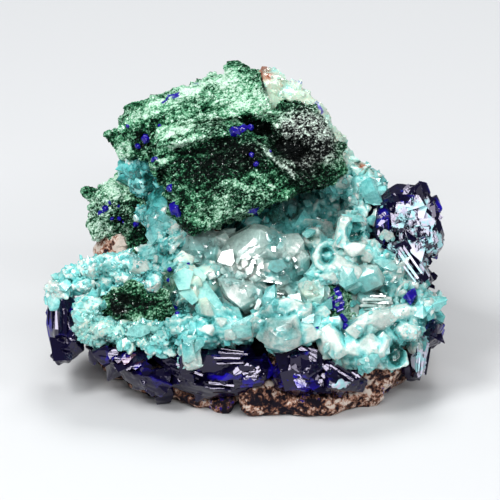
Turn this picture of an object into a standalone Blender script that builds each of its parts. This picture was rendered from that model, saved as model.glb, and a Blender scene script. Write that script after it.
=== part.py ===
"""Aurichalcite with cerussite: a mineral specimen, 60 mm wide, that rests on its own rock.

A brown rock with a hollow in its front carries a block of green malachite over the top, dark azurite
crystals along its rim, clear cerussite crystals in the middle and a turquoise crust of aurichalcite.

Places are in millimetres in the specimen's front view, which looks down on it at LEAN: across to the right,
up the view, and toward the viewer from the plane through the middle. The function seen turns them into the
part's frame, where Z is up and the floor is at 0. Finished meshes are scaled to metres.
"""

import math

import bmesh
import bpy
import numpy as np
from mathutils import Matrix, Vector, noise

MM = 0.001

# The front view that the places are read in
LEAN = math.radians(25.0)
MIDDLE_HEIGHT = 20.0
VIEW_AXES = Matrix(
    (
        (1.0, 0.0, 0.0),
        (0.0, math.sin(LEAN), -math.cos(LEAN)),
        (0.0, math.cos(LEAN), math.sin(LEAN)),
    )
)

# Clearance between neighbours, and the grain of the rounded pieces
GAP = 0.30
WELD = 0.0005
CRUST_GRAIN = 0.55
ROCK_GRAIN = 0.80
CUTTER_GRAIN = 0.30

# How many flat faces each rounded piece keeps
CRUST_TRIANGLES = 2400
ROCK_TRIANGLES = 1100
MALACHITE_TRIANGLES = {"malachite_cap": 950, "left_malachite": 260, "patch_malachite": 220}

# Pits and knobs, as (height, spacing) for the coarse ones and the fine ones
CRUST_RELIEF = ((0.35, 3.0), (0.15, 1.2))
ROCK_RELIEF = ((2.2, 6.0), (1.0, 2.4))
MALACHITE_RELIEF = ((0.30, 2.6), (0.25, 1.1))

# How far apart the noise patterns of two seeds lie
NOISE_SHIFT = (7.1, 3.3, 5.7)

# Chance seeds are drawn below this number
SEED_LIMIT = 9999

# The block that cuts the underside flat: its half width and its depth below the floor
FLOOR_CUT_HALF = 60
FLOOR_CUT_DEPTH = 30

# A gem's back is this share of its outline's size
BACK_SHARE = 0.8

# The steepest lean, as a cosine, that a corner follows when its faces move outwards
STEEPEST_LEAN = 0.34

# A simplified cutter stands this much farther off, because its faces stray from the body that it encloses
CUTTER_MARGIN = 0.55
GREEN_CUTTER_TRIANGLES = 320
CRUST_CUTTER_TRIANGLES = 1700

# Base colour, roughness and metallic value of each mineral
FINISHES = {
    "matrix_rock": ((0.36, 0.20, 0.14, 1.0), 0.90, 0.0),
    "aurichalcite": ((0.28, 0.66, 0.64, 1.0), 0.50, 0.0),
    "cerussite": ((0.62, 0.76, 0.72, 1.0), 0.10, 0.0),
    "malachite": ((0.03, 0.20, 0.09, 1.0), 0.70, 0.0),
    "azurite": ((0.02, 0.01, 0.22, 1.0), 0.15, 0.0),
}


def seen(across, up, toward):
    """The point of the part's frame that the front view shows at (across, up), this far toward the viewer."""
    return Vector((0.0, 0.0, MIDDLE_HEIGHT)) + VIEW_AXES @ Vector((across, up, toward))


def make_object(name, mesh):
    made = bpy.data.objects.new(name, mesh)
    bpy.context.scene.collection.objects.link(made)
    return made


def hull_mesh(points, grow=0.0):
    """The convex body through these points, with its faces moved outwards by grow."""
    shape = bmesh.new()
    for point in points:
        shape.verts.new(point)
    made = bmesh.ops.convex_hull(shape, input=shape.verts)
    inner = {g for g in made["geom_interior"] + made["geom_unused"] if isinstance(g, bmesh.types.BMVert)}
    bmesh.ops.delete(shape, geom=list(inner), context="VERTS")
    bmesh.ops.recalc_face_normals(shape, faces=shape.faces)
    if grow:
        shape.normal_update()
        moves = [corner_move(vertex, grow) for vertex in shape.verts]
        for vertex, move in zip(shape.verts, moves):
            vertex.co += move
    mesh = bpy.data.meshes.new("hull")
    shape.to_mesh(mesh)
    shape.free()
    return mesh


def corner_move(vertex, grow):
    """How a corner moves when the faces that meet there move outwards by grow, at most three times as far."""
    normal = vertex.normal
    lean = min(max(normal.dot(face.normal), STEEPEST_LEAN) for face in vertex.link_faces)
    return normal * (grow / lean)


def gem(outline, crest, back):
    """A crystal: its outline in the front view, the crest nearer the viewer, and its narrower back."""
    middle = sum((Vector(p) for p in outline), Vector((0, 0, 0))) / len(outline)
    points = [seen(*p) for p in outline] + [seen(*p) for p in crest]
    for a, u, t in outline:
        shrunk_a = middle.x + BACK_SHARE * (a - middle.x)
        shrunk_u = middle.y + BACK_SHARE * (u - middle.y)
        points.append(seen(shrunk_a, shrunk_u, back))
    return points


def block(face, edge, back):
    """A block: the corners of the face toward the viewer, those of a farther edge, and its flat back."""
    rear = [seen(a, u, back) for a, u, t in face + edge]
    return [seen(*p) for p in face + edge] + rear


def lump(place, size, seed, corners=26, roughness=0.10):
    """A knobbly lump with flat sides: points spread evenly over an ellipsoid of this half size."""
    draw = np.random.default_rng(seed)
    golden = math.pi * (3 - math.sqrt(5))
    start = draw.uniform(0, math.tau)
    points = []
    for i in range(corners):
        height = 1 - (2 * i + 1) / corners
        flat = math.sqrt(1 - height * height)
        angle = start + i * golden
        reach = 1 + draw.uniform(-roughness, roughness)
        way = (flat * math.cos(angle), height, flat * math.sin(angle))
        points.append(seen(*(p + w * s * reach for p, w, s in zip(place, way, size))))
    return points


def applied(obj, name, kind, **settings):
    """Applies one modifier to an object by replacing its mesh with the evaluated one."""
    modifier = obj.modifiers.new(name, kind)
    for key, value in settings.items():
        setattr(modifier, key, value)
    graph = bpy.context.evaluated_depsgraph_get()
    mesh = bpy.data.meshes.new_from_object(obj.evaluated_get(graph))
    obj.modifiers.clear()
    old, obj.data = obj.data, mesh
    bpy.data.meshes.remove(old)


def discard(obj):
    mesh = obj.data
    bpy.data.objects.remove(obj)
    bpy.data.meshes.remove(mesh)


def combine(obj, other, operation):
    """A Boolean of obj with other, which is then thrown away."""
    applied(obj, "combine", "BOOLEAN", operation=operation, object=other, solver="EXACT", use_self=True)
    discard(other)


def crisp_union(name, bodies):
    """One solid of convex bodies that overlap, with their flat faces kept."""
    result = make_object(name, hull_mesh(bodies[0]))
    for points in bodies[1:]:
        combine(result, make_object("piece", hull_mesh(points)), "UNION")
    return result


def soft_union(name, bodies, grain):
    """One solid of bodies that overlap, rounded to the given grain."""
    joined = bmesh.new()
    for points in bodies:
        mesh = hull_mesh(points)
        joined.from_mesh(mesh)
        bpy.data.meshes.remove(mesh)
    mesh = bpy.data.meshes.new(name)
    joined.to_mesh(mesh)
    joined.free()
    result = make_object(name, mesh)
    applied(result, "grain", "REMESH", mode="VOXEL", voxel_size=grain, adaptivity=0.0)
    return result


def roughen(obj, coarse, fine, seed):
    """Pits and knobs: moves each point along its normal by noise at two sizes, as (height, spacing) pairs."""
    shape = bmesh.new()
    shape.from_mesh(obj.data)
    shape.normal_update()
    shift = Vector(seed * step for step in NOISE_SHIFT)
    moves = []
    for vertex in shape.verts:
        height = coarse[0] * noise.noise(vertex.co / coarse[1] + shift)
        height += fine[0] * noise.noise(vertex.co / fine[1] - shift)
        moves.append(vertex.normal * height)
    for vertex, move in zip(shape.verts, moves):
        vertex.co += move
    shape.to_mesh(obj.data)
    shape.free()


def simplify(obj, triangles):
    """Fewer, larger flat faces."""
    obj.data.calc_loop_triangles()
    share = triangles / max(len(obj.data.loop_triangles), 1)
    if share < 1:
        applied(obj, "facets", "DECIMATE", ratio=share, use_collapse_triangulate=True)


def islands(shape):
    """The bodies that a bmesh holds, as lists of faces."""
    left = set(shape.faces)
    found = []
    while left:
        front = [left.pop()]
        body = list(front)
        while front:
            face = front.pop()
            for edge in face.edges:
                for other in edge.link_faces:
                    if other in left:
                        left.remove(other)
                        front.append(other)
                        body.append(other)
        found.append(body)
    return found


def body_volume(faces):
    total = 0.0
    for face in faces:
        first = face.verts[0].co
        for one, two in zip(face.verts[1:], face.verts[2:]):
            total += first.dot(one.co.cross(two.co)) / 6
    return total


def keep_largest(obj):
    """Drops loose chips and closed voids, welds stray points, and leaves one body of triangles."""
    shape = bmesh.new()
    shape.from_mesh(obj.data)
    bmesh.ops.remove_doubles(shape, verts=shape.verts, dist=WELD)
    bmesh.ops.triangulate(shape, faces=shape.faces)
    bodies = sorted(islands(shape), key=body_volume)
    for body in bodies[:-1]:
        bmesh.ops.delete(shape, geom=body, context="FACES")
    loose = [v for v in shape.verts if not v.link_faces]
    bmesh.ops.delete(shape, geom=loose, context="VERTS")
    shape.to_mesh(obj.data)
    shape.free()


def swollen_copy(obj, triangles):
    """A simple body that encloses obj with the clearance all round it, for cutting its neighbours back."""
    copy = make_object("swollen", obj.data.copy())
    applied(copy, "even", "REMESH", mode="VOXEL", voxel_size=CUTTER_GRAIN, adaptivity=0.0)
    shape = bmesh.new()
    shape.from_mesh(copy.data)
    shape.normal_update()
    moves = [vertex.normal * (GAP + CUTTER_MARGIN) for vertex in shape.verts]
    for vertex, move in zip(shape.verts, moves):
        vertex.co += move
    shape.to_mesh(copy.data)
    shape.free()
    applied(copy, "whole", "REMESH", mode="VOXEL", voxel_size=CRUST_GRAIN, adaptivity=0.0)
    simplify(copy, triangles)
    return copy


def cut_bodies(obj, bodies):
    """Cuts convex bodies out of obj, each with the clearance round it."""
    for points in bodies:
        combine(obj, make_object("cutter", hull_mesh(points, GAP)), "DIFFERENCE")


def cut_floor(obj):
    """Cuts off what lies below the floor, flat."""
    sides = (-FLOOR_CUT_HALF, FLOOR_CUT_HALF)
    corners = [Vector((x, y, z)) for x in sides for y in sides for z in (-FLOOR_CUT_DEPTH, 0)]
    combine(obj, make_object("floor", hull_mesh(corners)), "DIFFERENCE")


AZURITE_LEFT = [
    gem(
        [(-30.2, -7.0, 0), (-25.4, -7.4, 2), (-24.8, -15.0, 3)]
        + [(-27.3, -17.0, 1), (-29.5, -16.4, 0), (-30.6, -11.0, 0)],
        [(-28.2, -7.4, 3.6), (-26.0, -13.8, 5.0), (-28.6, -13.4, 4.2), (-27.4, -16.2, 3.4)],
        -4.0,
    ),
]

AZURITE_FRONT_LEFT = [
    gem(
        [(-24.8, -14.4, 3), (-22.6, -13.4, 4), (-18.0, -13.6, 6)]
        + [(-15.0, -15.1, 7), (-15.6, -17.7, 7), (-19.2, -18.4, 6)],
        [(-19.4, -16.8, 8.8), (-17.2, -15.4, 8.8), (-22.4, -15.8, 7.0)],
        0.0,
    ),
    gem(
        [(-20.0, -17.2, 5), (-15.4, -17.2, 7), (-11.6, -20.2, 8)]
        + [(-13.2, -21.9, 7), (-15.8, -20.9, 6), (-18.8, -19.4, 5)],
        [(-14.6, -19.0, 9.2), (-17.6, -18.4, 8.0)],
        1.0,
    ),
]

AZURITE_FRONT_CENTRE = [
    gem(
        [(-15.0, -15.8, 7), (-11.0, -15.8, 8), (-5.9, -14.4, 8)]
        + [(-0.2, -14.6, 8), (-2.0, -18.6, 10), (-11.6, -18.6, 8)],
        [(-6.4, -15.6, 12.2), (-1.2, -15.8, 12.0), (-8.0, -18.0, 11.4)],
        1.0,
    ),
    gem(
        [(-5.0, -16.0, 9), (2.6, -15.8, 8), (3.9, -18.2, 8)]
        + [(1.6, -20.2, 9), (-3.4, -20.7, 9), (-8.2, -19.8, 8)],
        [(-1.6, -17.2, 12.8), (1.0, -17.4, 12.2), (-4.4, -19.4, 11.6)],
        1.6,
    ),
    gem(
        [(-12.0, -18.4, 6), (-4.0, -19.6, 8), (0.4, -20.4, 8)]
        + [(-1.0, -21.6, 7), (-6.4, -22.2, 6), (-10.6, -20.8, 6)],
        [(-5.2, -20.6, 10.2), (-8.4, -20.0, 9.2)],
        2.2,
    ),
]

AZURITE_FRONT_RIGHT = [
    gem(
        [(2.9, -18.6, 8), (4.8, -15.0, 8), (7.5, -14.2, 8), (11.0, -15.2, 8)]
        + [(12.0, -20.8, 8), (7.5, -21.8, 7), (3.8, -20.8, 7)],
        [(6.2, -16.0, 12.4), (9.0, -16.4, 12.8), (9.4, -20.0, 12.2), (5.2, -19.4, 11.6)],
        0.0,
    ),
    gem(
        [(9.6, -14.8, 8), (11.4, -15.0, 8), (17.6, -19.4, 7), (16.8, -21.2, 7), (10.0, -21.4, 8)],
        [(12.0, -17.0, 11.6), (15.2, -19.4, 10.4), (11.6, -20.4, 12.0)],
        1.2,
    ),
]

AZURITE_RIGHT_RIDGE = [
    gem(
        [(18.3, 7.6, 0), (22.0, 10.0, -1), (26.4, 9.6, -1), (28.2, 6.2, 0)]
        + [(27.5, 2.7, 1), (22.6, 2.2, 1), (19.2, 4.2, 1)],
        [(24.6, 7.4, 4.4), (21.6, 7.2, 3.6), (25.2, 3.6, 5.0), (22.4, 4.0, 4.2)],
        -6.0,
    ),
    gem(
        [(24.0, 6.4, 1), (28.2, 5.6, 0), (29.2, 2.3, 0), (28.5, 0.0, 1)]
        + [(26.6, -1.2, 1), (23.7, -1.0, 2), (22.4, 1.8, 2)],
        [(26.2, 3.6, 5.0), (25.2, 0.2, 5.6), (27.6, 1.6, 3.6)],
        -5.4,
    ),
    gem(
        [(17.9, 6.8, -1), (21.6, 6.8, 0), (22.6, 1.4, 1), (21.2, -1.8, 1), (18.4, -1.2, 0), (17.8, 2.4, -1)],
        [(20.4, 4.4, 3.4), (20.8, 0.4, 3.8), (19.2, 2.6, 2.6)],
        -5.0,
    ),
    gem(
        [(21.3, 1.4, 2), (22.8, 2.0, 2), (27.6, -4.4, 1), (26.6, -6.0, 1), (24.6, -4.8, 2), (21.8, -1.0, 3)],
        [(23.2, -0.2, 6.4), (26.0, -3.8, 5.4)],
        -3.0,
    ),
]

AZURITE_RIGHT_CORNER = [
    gem(
        [(25.0, -10.8, 2), (28.2, -10.2, 1), (29.2, -12.0, 1)]
        + [(28.5, -14.0, 2), (26.4, -14.6, 3), (24.4, -13.0, 3)],
        [(26.8, -11.6, 5.8), (27.0, -13.4, 5.6)],
        -3.0,
    ),
    gem(
        [(24.0, -13.4, 3), (26.9, -14.0, 2), (26.2, -17.0, 3)]
        + [(25.4, -19.6, 3), (24.0, -19.2, 3), (23.2, -16.0, 3)],
        [(25.2, -15.2, 6.4), (24.8, -18.2, 5.6)],
        -2.0,
    ),
]

CERUSSITE_CLUSTER = [
    gem(
        [(-5.2, -1.8, 3), (-4.2, 1.6, 2), (0.0, 3.9, 1), (3.4, 3.2, 1)]
        + [(7.4, 1.4, 2), (9.2, -1.8, 2), (8.2, -5.2, 4)],
        [(-3.0, 0.2, 6.6), (-1.0, -1.6, 8.0), (2.8, 0.6, 6.8)]
        + [(5.6, -0.6, 7.0), (3.6, -4.6, 9.0), (-3.4, -4.8, 7.6)],
        -4.0,
    ),
    gem(
        [(-4.9, -4.0, 7), (-2.4, -2.9, 7), (1.8, -4.6, 7), (4.6, -7.0, 7)]
        + [(3.2, -8.9, 8), (-0.8, -9.0, 8), (-3.8, -7.2, 7)],
        [(-3.0, -5.0, 10.0), (0.4, -6.2, 11.0), (1.8, -8.0, 10.6), (-1.6, -7.6, 10.2)],
        2.0,
    ),
    gem(
        [(2.1, -3.0, 7), (4.2, -1.3, 6), (6.6, -2.6, 6), (6.4, -4.4, 7), (3.0, -4.6, 7)],
        [(3.8, -2.4, 9.2), (5.2, -3.6, 9.0)],
        4.0,
    ),
    gem(
        [(5.6, -4.4, 6), (8.2, -5.0, 6), (10.9, -5.6, 6), (10.2, -7.4, 7), (6.8, -7.2, 7), (4.2, -6.4, 7)],
        [(7.4, -5.8, 9.2), (9.6, -6.3, 8.8)],
        3.0,
    ),
    gem(
        [(-10.4, 2.4, -1), (-7.6, 3.4, 0), (-4.0, 2.4, 1), (-3.2, -2.2, 3), (-6.2, -3.4, 3), (-9.4, -2.6, 2)],
        [(-8.2, 0.8, 3.6), (-5.6, 0.6, 4.8), (-6.2, -2.2, 5.4)],
        -4.0,
    ),
]

CERUSSITE_RIGHT = [
    gem(
        [(14.2, -3.2, 4), (16.8, -1.8, 3), (19.6, -3.2, 3)]
        + [(19.8, -5.6, 4), (16.8, -6.9, 5), (14.2, -5.6, 5)],
        [(16.4, -3.6, 7.4), (18.6, -4.2, 7.0), (17.0, -5.8, 7.6)],
        0.0,
    ),
    gem(
        [(16.4, -6.0, 5), (21.2, -6.6, 4), (21.3, -8.8, 5), (16.6, -9.0, 6)],
        [(17.4, -7.0, 8.0), (20.4, -7.4, 7.4), (20.2, -8.4, 7.4)],
        1.0,
    ),
]

CENTRE_MALACHITE = [
    gem(
        [(10.9, -7.0, 6), (12.2, -4.0, 5), (14.6, -4.8, 5)]
        + [(15.3, -9.6, 6), (13.8, -14.0, 7), (11.6, -12.6, 7)],
        [(12.6, -6.6, 8.6), (13.6, -10.2, 9.0), (12.2, -11.4, 9.0)],
        2.0,
    ),
]

MALACHITE_BLOCKS = [
    # The main block: the flat face toward the viewer, and the edge at the back of its narrow top
    block(
        [(-13.2, 15.0, 7.0), (0.8, 18.0, 7.6), (8.4, 9.5, 6.8), (2.0, 6.9, 8.6)]
        + [(-6.2, 3.6, 9.2), (-8.4, 2.7, 8.8), (-10.4, 5.0, 7.6), (-12.8, 11.2, 6.8)],
        [(-14.7, 17.6, 2.6), (-8.2, 19.6, 2.4), (0.2, 20.4, 2.4), (3.6, 18.6, 3.0)],
        -4.0,
    ),
    # The right block, with its top sloping toward the viewer and a steep front
    block(
        [(5.6, 15.4, 7.4), (11.3, 16.4, 6.4), (12.3, 13.2, 5.8)]
        + [(13.9, 11.7, 4.0), (12.0, 10.3, 5.6), (8.2, 9.2, 6.6)],
        [(2.0, 19.0, 2.4), (4.8, 21.6, 0.4), (7.9, 21.7, 0.2), (9.8, 20.0, 1.4), (11.8, 17.2, 3.0)],
        -5.0,
    ),
    # The grey ridge between the two blocks
    block(
        [(1.0, 16.2, 7.8), (2.4, 16.0, 8.4), (8.6, 9.6, 8.6), (7.4, 9.2, 8.2)],
        [(2.2, 17.2, 5.0), (8.6, 10.4, 5.0)],
        1.0,
    ),
    # The slab behind, its face rising to the top rim
    block(
        [(-18.4, 14.0, -1.4), (-17.8, 18.2, -0.6), (-11.0, 20.6, 0.6), (-4.0, 22.4, 1.0)]
        + [(1.0, 22.6, 0.2), (2.2, 18.6, 1.0), (-12.0, 13.4, 1.6)],
        [(-19.8, 15.2, -5), (-19.8, 18.4, -5), (-17.6, 21.3, -6)]
        + [(-10.8, 23.9, -6.6), (-4.8, 26.0, -7), (1.4, 26.4, -6)],
        -11.0,
    ),
    lump((-1.6, 24.4, -3.8), (3.0, 3.0, 4.0), 31),
    lump((-16.4, 18.2, -2.6), (3.2, 3.2, 3.8), 32),
    lump((-13.6, 13.4, 4.6), (1.5, 1.3, 2.6), 33),
    lump((-10.9, 6.0, 6.6), (1.4, 1.6, 1.4), 34),
]

LEFT_MALACHITE = [
    lump((-20.6, 8.0, -8.6), (3.2, 3.0, 4.0), 41, 12, 0.2),
    lump((-17.4, 5.6, -7.0), (3.2, 3.0, 4.0), 42, 12, 0.2),
    lump((-21.6, 4.8, -8.0), (2.9, 2.8, 3.6), 43, 12, 0.2),
    lump((-16.4, 1.4, -5.8), (2.6, 2.6, 3.6), 44, 12, 0.2),
]

PATCH_MALACHITE = [
    lump((-18.6, -8.0, 7.0), (4.2, 2.5, 2.6), 51),
    lump((-15.0, -8.8, 8.0), (3.6, 2.5, 2.4), 52),
]

# Each row of nodules: places in the front view with half sizes, from one end of the row to the other
CRUST_LUMPS = {
    "left_ridge": [
        ((-28.2, -6.0, 1.2), (2.2, 1.9, 2.6)),
        ((-25.6, -4.7, 1.0), (2.4, 2.1, 2.8)),
        ((-22.6, -3.2, 0.4), (2.8, 2.3, 3.2)),
        ((-19.6, -2.6, 0.2), (2.6, 2.2, 3.2)),
        ((-16.6, -3.0, 0.6), (2.5, 2.5, 3.2)),
        ((-14.4, -5.2, 2.2), (2.2, 2.4, 3.0)),
    ],
    "left_lump": [
        ((-21.2, -10.6, 4.6), (5.4, 4.0, 4.0)),
        ((-17.6, -12.0, 6.0), (4.6, 3.2, 3.6)),
        ((-23.4, -9.4, 3.6), (3.0, 3.4, 3.6)),
        ((-13.2, -13.2, 8.0), (3.4, 2.4, 3.0)),
        ((-13.6, -10.2, 6.6), (3.0, 2.8, 3.0)),
    ],
    "white_chunk": [
        ((-9.4, -5.2, 6.2), (2.5, 3.6, 2.6)),
        ((-8.0, -8.8, 7.0), (2.6, 3.0, 2.8)),
        ((-10.4, -11.8, 8.4), (2.8, 2.4, 2.8)),
        ((-6.2, -12.4, 9.2), (3.0, 2.4, 2.8)),
        ((-8.8, -15.4, 10.6), (1.9, 2.4, 2.2)),
        ((-6.2, -4.4, 4.4), (2.2, 3.0, 2.8)),
    ],
    "centre_front": [
        ((-4.8, -10.2, 8.0), (2.6, 2.0, 2.6)),
        ((2.4, -9.4, 8.0), (2.4, 1.8, 2.6)),
        ((6.4, -8.4, 7.6), (2.6, 2.0, 2.6)),
        ((9.6, -7.2, 7.2), (2.0, 2.0, 2.4)),
    ],
    "front_middle": [
        ((-2.6, -12.2, 9.6), (3.4, 2.4, 2.8)),
        ((1.6, -11.2, 9.6), (3.0, 2.3, 2.6)),
        ((4.7, -13.4, 10.6), (3.0, 2.3, 2.6)),
        ((8.2, -10.4, 9.4), (3.2, 2.8, 2.6)),
        ((11.9, -13.6, 10.4), (2.2, 2.9, 2.2)),
    ],
    "front_right": [
        ((16.2, -12.6, 8.4), (3.4, 2.8, 3.0)),
        ((19.6, -13.4, 8.0), (3.2, 3.2, 3.0)),
        ((23.2, -11.6, 6.0), (3.2, 2.8, 3.2)),
        ((26.2, -8.8, 3.6), (2.3, 2.5, 3.2)),
        ((24.2, -6.6, 4.2), (2.3, 2.3, 2.8)),
        ((20.4, -10.2, 6.8), (3.2, 2.2, 3.0)),
        ((16.4, -16.2, 9.0), (2.4, 1.8, 2.4)),
        ((21.4, -16.0, 7.6), (2.4, 1.9, 2.4)),
    ],
    "middle_right": [
        ((11.4, -1.2, 3.6), (2.4, 2.4, 3.0)),
        ((11.0, -4.2, 5.0), (2.8, 2.8, 3.0)),
        ((15.4, 0.2, 3.4), (2.6, 2.0, 3.0)),
        ((14.2, -2.4, 4.2), (2.6, 2.4, 2.8)),
        ((15.4, 3.2, 1.4), (2.5, 2.4, 3.6)),
        ((9.6, 1.8, 1.4), (2.2, 2.2, 3.0)),
        ((18.2, -0.6, 2.0), (2.4, 2.4, 3.0)),
        ((22.3, -2.6, 4.0), (2.5, 2.6, 2.8)),
        ((20.6, -4.6, 3.0), (2.6, 2.6, 3.0)),
    ],
    "upper_right": [
        ((18.0, 9.4, -3.0), (2.8, 2.2, 4.0)),
        ((16.3, 7.0, -1.4), (2.0, 2.4, 3.0)),
        ((13.4, 9.6, -5.0), (2.6, 2.4, 4.0)),
        ((18.4, 4.6, -4.0), (3.0, 4.0, 3.0)),
    ],
    "hollow_wall": [
        ((6.0, 6.6, -10.0), (6.4, 5.4, 4.0)),
        ((12.0, 5.4, -8.0), (5.2, 5.2, 4.6)),
        ((-2.0, 3.0, -8.6), (6.4, 5.0, 4.0)),
        ((8.6, 0.8, -3.6), (5.4, 4.4, 4.4)),
        ((-6.4, 5.6, -9.0), (5.2, 5.0, 4.0)),
        ((1.0, 4.6, -5.4), (5.4, 2.8, 3.6)),
    ],
    "left_middle": [
        ((-11.4, 0.8, -2.4), (3.2, 4.0, 4.4)),
        ((-13.6, 4.2, -5.0), (3.0, 3.2, 4.2)),
        ((-14.6, 8.8, -8.4), (4.2, 4.8, 4.2)),
        ((-17.6, 12.2, -8.6), (2.8, 3.0, 4.0)),
        ((-10.4, -3.2, 1.0), (3.2, 3.0, 4.0)),
        ((-15.6, 10.6, -5.6), (2.6, 3.0, 2.8)),
        ((-13.4, 6.8, -3.4), (2.2, 3.0, 2.6)),
        ((-12.2, 2.6, -0.6), (2.2, 2.4, 2.4)),
        ((-14.8, -0.8, -1.8), (2.4, 2.2, 2.4)),
    ],
    "floor": [
        ((0.0, -6.0, 1.0), (10.0, 5.0, 6.0)),
        ((11.0, -8.4, 2.4), (9.0, 5.0, 6.0)),
        ((-9.0, -8.0, 1.6), (7.0, 5.0, 6.0)),
        ((-17.4, -8.6, 0.4), (6.4, 5.0, 5.0)),
        ((19.4, -8.0, 1.0), (6.4, 6.4, 5.0)),
    ],
    "top_ridge": [
        ((3.0, 24.9, -6.4), (2.8, 3.0, 4.2)),
        ((2.6, 21.6, -6.0), (2.6, 3.4, 3.6)),
        ((6.2, 22.4, -6.2), (3.4, 3.3, 4.4)),
        ((9.4, 19.2, -6.0), (3.2, 3.5, 4.4)),
        ((11.7, 15.9, -6.0), (2.9, 3.4, 4.4)),
        ((13.4, 12.8, -6.0), (2.6, 2.9, 4.4)),
        ((16.8, 11.4, -5.0), (2.4, 1.9, 4.0)),
        ((7.0, 13.0, -9.0), (6.4, 7.0, 3.6)),
    ],
}

# The corners of a crust lump and how uneven they are: few and uneven, so that it looks like a crystal
CRUST_CORNERS = 16
CRUST_UNEVENNESS = 0.16

# Small nodules that stud the rows: how many there are on each lump, their half size and corners, how far they
# lean away from the viewer and how deep they sit
NODULES_ON_A_LUMP = 3
NODULE_SIZE = (0.9, 1.5)
NODULE_CORNERS = 12
NODULE_SLANT = (0.25, 0.75)
NODULE_REACH = 0.86
STUDDED_ROWS = (
    "left_ridge",
    "left_lump",
    "white_chunk",
    "centre_front",
    "front_middle",
    "front_right",
    "middle_right",
    "upper_right",
)

# The rock, as rings of points at one height each: (height, [(x, y), ...])
ROCK_RINGS = [
    [
        (-3, [(-19, 4), (-13, -7), (-4, -13), (9, -16.2), (18, -13), (22.5, -4)]),
        (-3, [(24, 5), (22, 14), (9, 18), (-18, 13)]),
        (8, [(-25, 0), (-21, -8), (-10, -14.5), (8, -15.5), (21, -12), (26, -3)]),
        (8, [(25.5, 11), (11, 19.5), (-21, 14)]),
    ],
    [
        (6, [(-25, 0), (-22, 14), (-8, 20), (12, 19.5), (25.5, 11), (26, -3), (0, -8)]),
        (23, [(-22.5, 9), (-20, 17), (-2, 21), (14, 19), (22.5, 13), (24.5, 3), (0, 10)]),
    ],
    [
        (20, [(-20, 10), (-18, 18), (0, 21), (18, 17), (19, 9)]),
        (34, [(-15, 14), (-12, 19), (0, 20), (7, 19.5), (9, 15)]),
    ],
]

# The notch in the rock's front foot, as corners (x, y, height)
ROCK_NOTCH = [
    (-3.8, -19.0, -2.0),
    (0.6, -19.0, -2.0),
    (-1.5, -8.4, -2.0),
    (-2.8, -19.0, 4.2),
    (-0.6, -19.0, 4.2),
    (-1.6, -10.2, 2.6),
]


def crust_bodies():
    """Every lump of the crust, with small nodules on the lumps of the studded rows."""
    draw = np.random.default_rng(5)
    bodies = []
    for row, lumps in CRUST_LUMPS.items():
        for place, size in lumps:
            seed = int(draw.integers(1, SEED_LIMIT))
            bodies.append(lump(place, size, seed, CRUST_CORNERS, CRUST_UNEVENNESS))
            if row in STUDDED_ROWS:
                bodies += nodules(place, size, draw)
    return bodies


def nodules(place, size, draw):
    """Small knobs on the side of one lump that faces the viewer."""
    knobs = []
    for i in range(NODULES_ON_A_LUMP):
        angle = draw.uniform(0, math.tau)
        slant = draw.uniform(*NODULE_SLANT)
        way = (slant * math.cos(angle), slant * math.sin(angle), math.sqrt(1 - slant * slant))
        where = [p + NODULE_REACH * w * s for p, w, s in zip(place, way, size)]
        half = [draw.uniform(*NODULE_SIZE) for axis in range(3)]
        knobs.append(lump(where, half, int(draw.integers(1, SEED_LIMIT)), NODULE_CORNERS))
    return knobs


def rock_bodies():
    bodies = []
    for rings in ROCK_RINGS:
        bodies.append([Vector((x, y, height)) for height, ring in rings for x, y in ring])
    return bodies


def finish_node(obj, finish):
    """Gives a node its material and turns its millimetres into metres."""
    colour, roughness, metallic = FINISHES[finish]
    material = bpy.data.materials.get(finish)
    if material is None:
        material = bpy.data.materials.new(finish)
        material.use_nodes = True
        shader = material.node_tree.nodes["Principled BSDF"]
        shader.inputs["Base Color"].default_value = colour
        shader.inputs["Roughness"].default_value = roughness
        shader.inputs["Metallic"].default_value = metallic
    obj.data.materials.clear()
    obj.data.materials.append(material)
    obj.data.transform(Matrix.Scale(MM, 4))
    obj.data.name = obj.name


def crystal_nodes():
    """The crystals with flat faces, each cut back from the ones made before it."""
    groups = {
        "azurite_left": ("azurite", AZURITE_LEFT),
        "azurite_front_left": ("azurite", AZURITE_FRONT_LEFT),
        "azurite_front_centre": ("azurite", AZURITE_FRONT_CENTRE),
        "azurite_front_right": ("azurite", AZURITE_FRONT_RIGHT),
        "azurite_right_ridge": ("azurite", AZURITE_RIGHT_RIDGE),
        "azurite_right_corner": ("azurite", AZURITE_RIGHT_CORNER),
        "cerussite_cluster": ("cerussite", CERUSSITE_CLUSTER),
        "cerussite_right": ("cerussite", CERUSSITE_RIGHT),
        "centre_malachite": ("malachite", CENTRE_MALACHITE),
    }
    taken = []
    made = []
    for name, (finish, bodies) in groups.items():
        node = crisp_union(name, bodies)
        cut_bodies(node, taken)
        keep_largest(node)
        taken += bodies
        made.append((node, finish))
    return made, taken


def rounded_malachite(name, bodies, seed, taken):
    """A malachite node: blocks or lumps with a knobbly, broken surface."""
    node = soft_union(name, bodies, CRUST_GRAIN)
    roughen(node, *MALACHITE_RELIEF, seed)
    simplify(node, MALACHITE_TRIANGLES[name])
    cut_bodies(node, taken)
    keep_largest(node)
    return node


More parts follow.
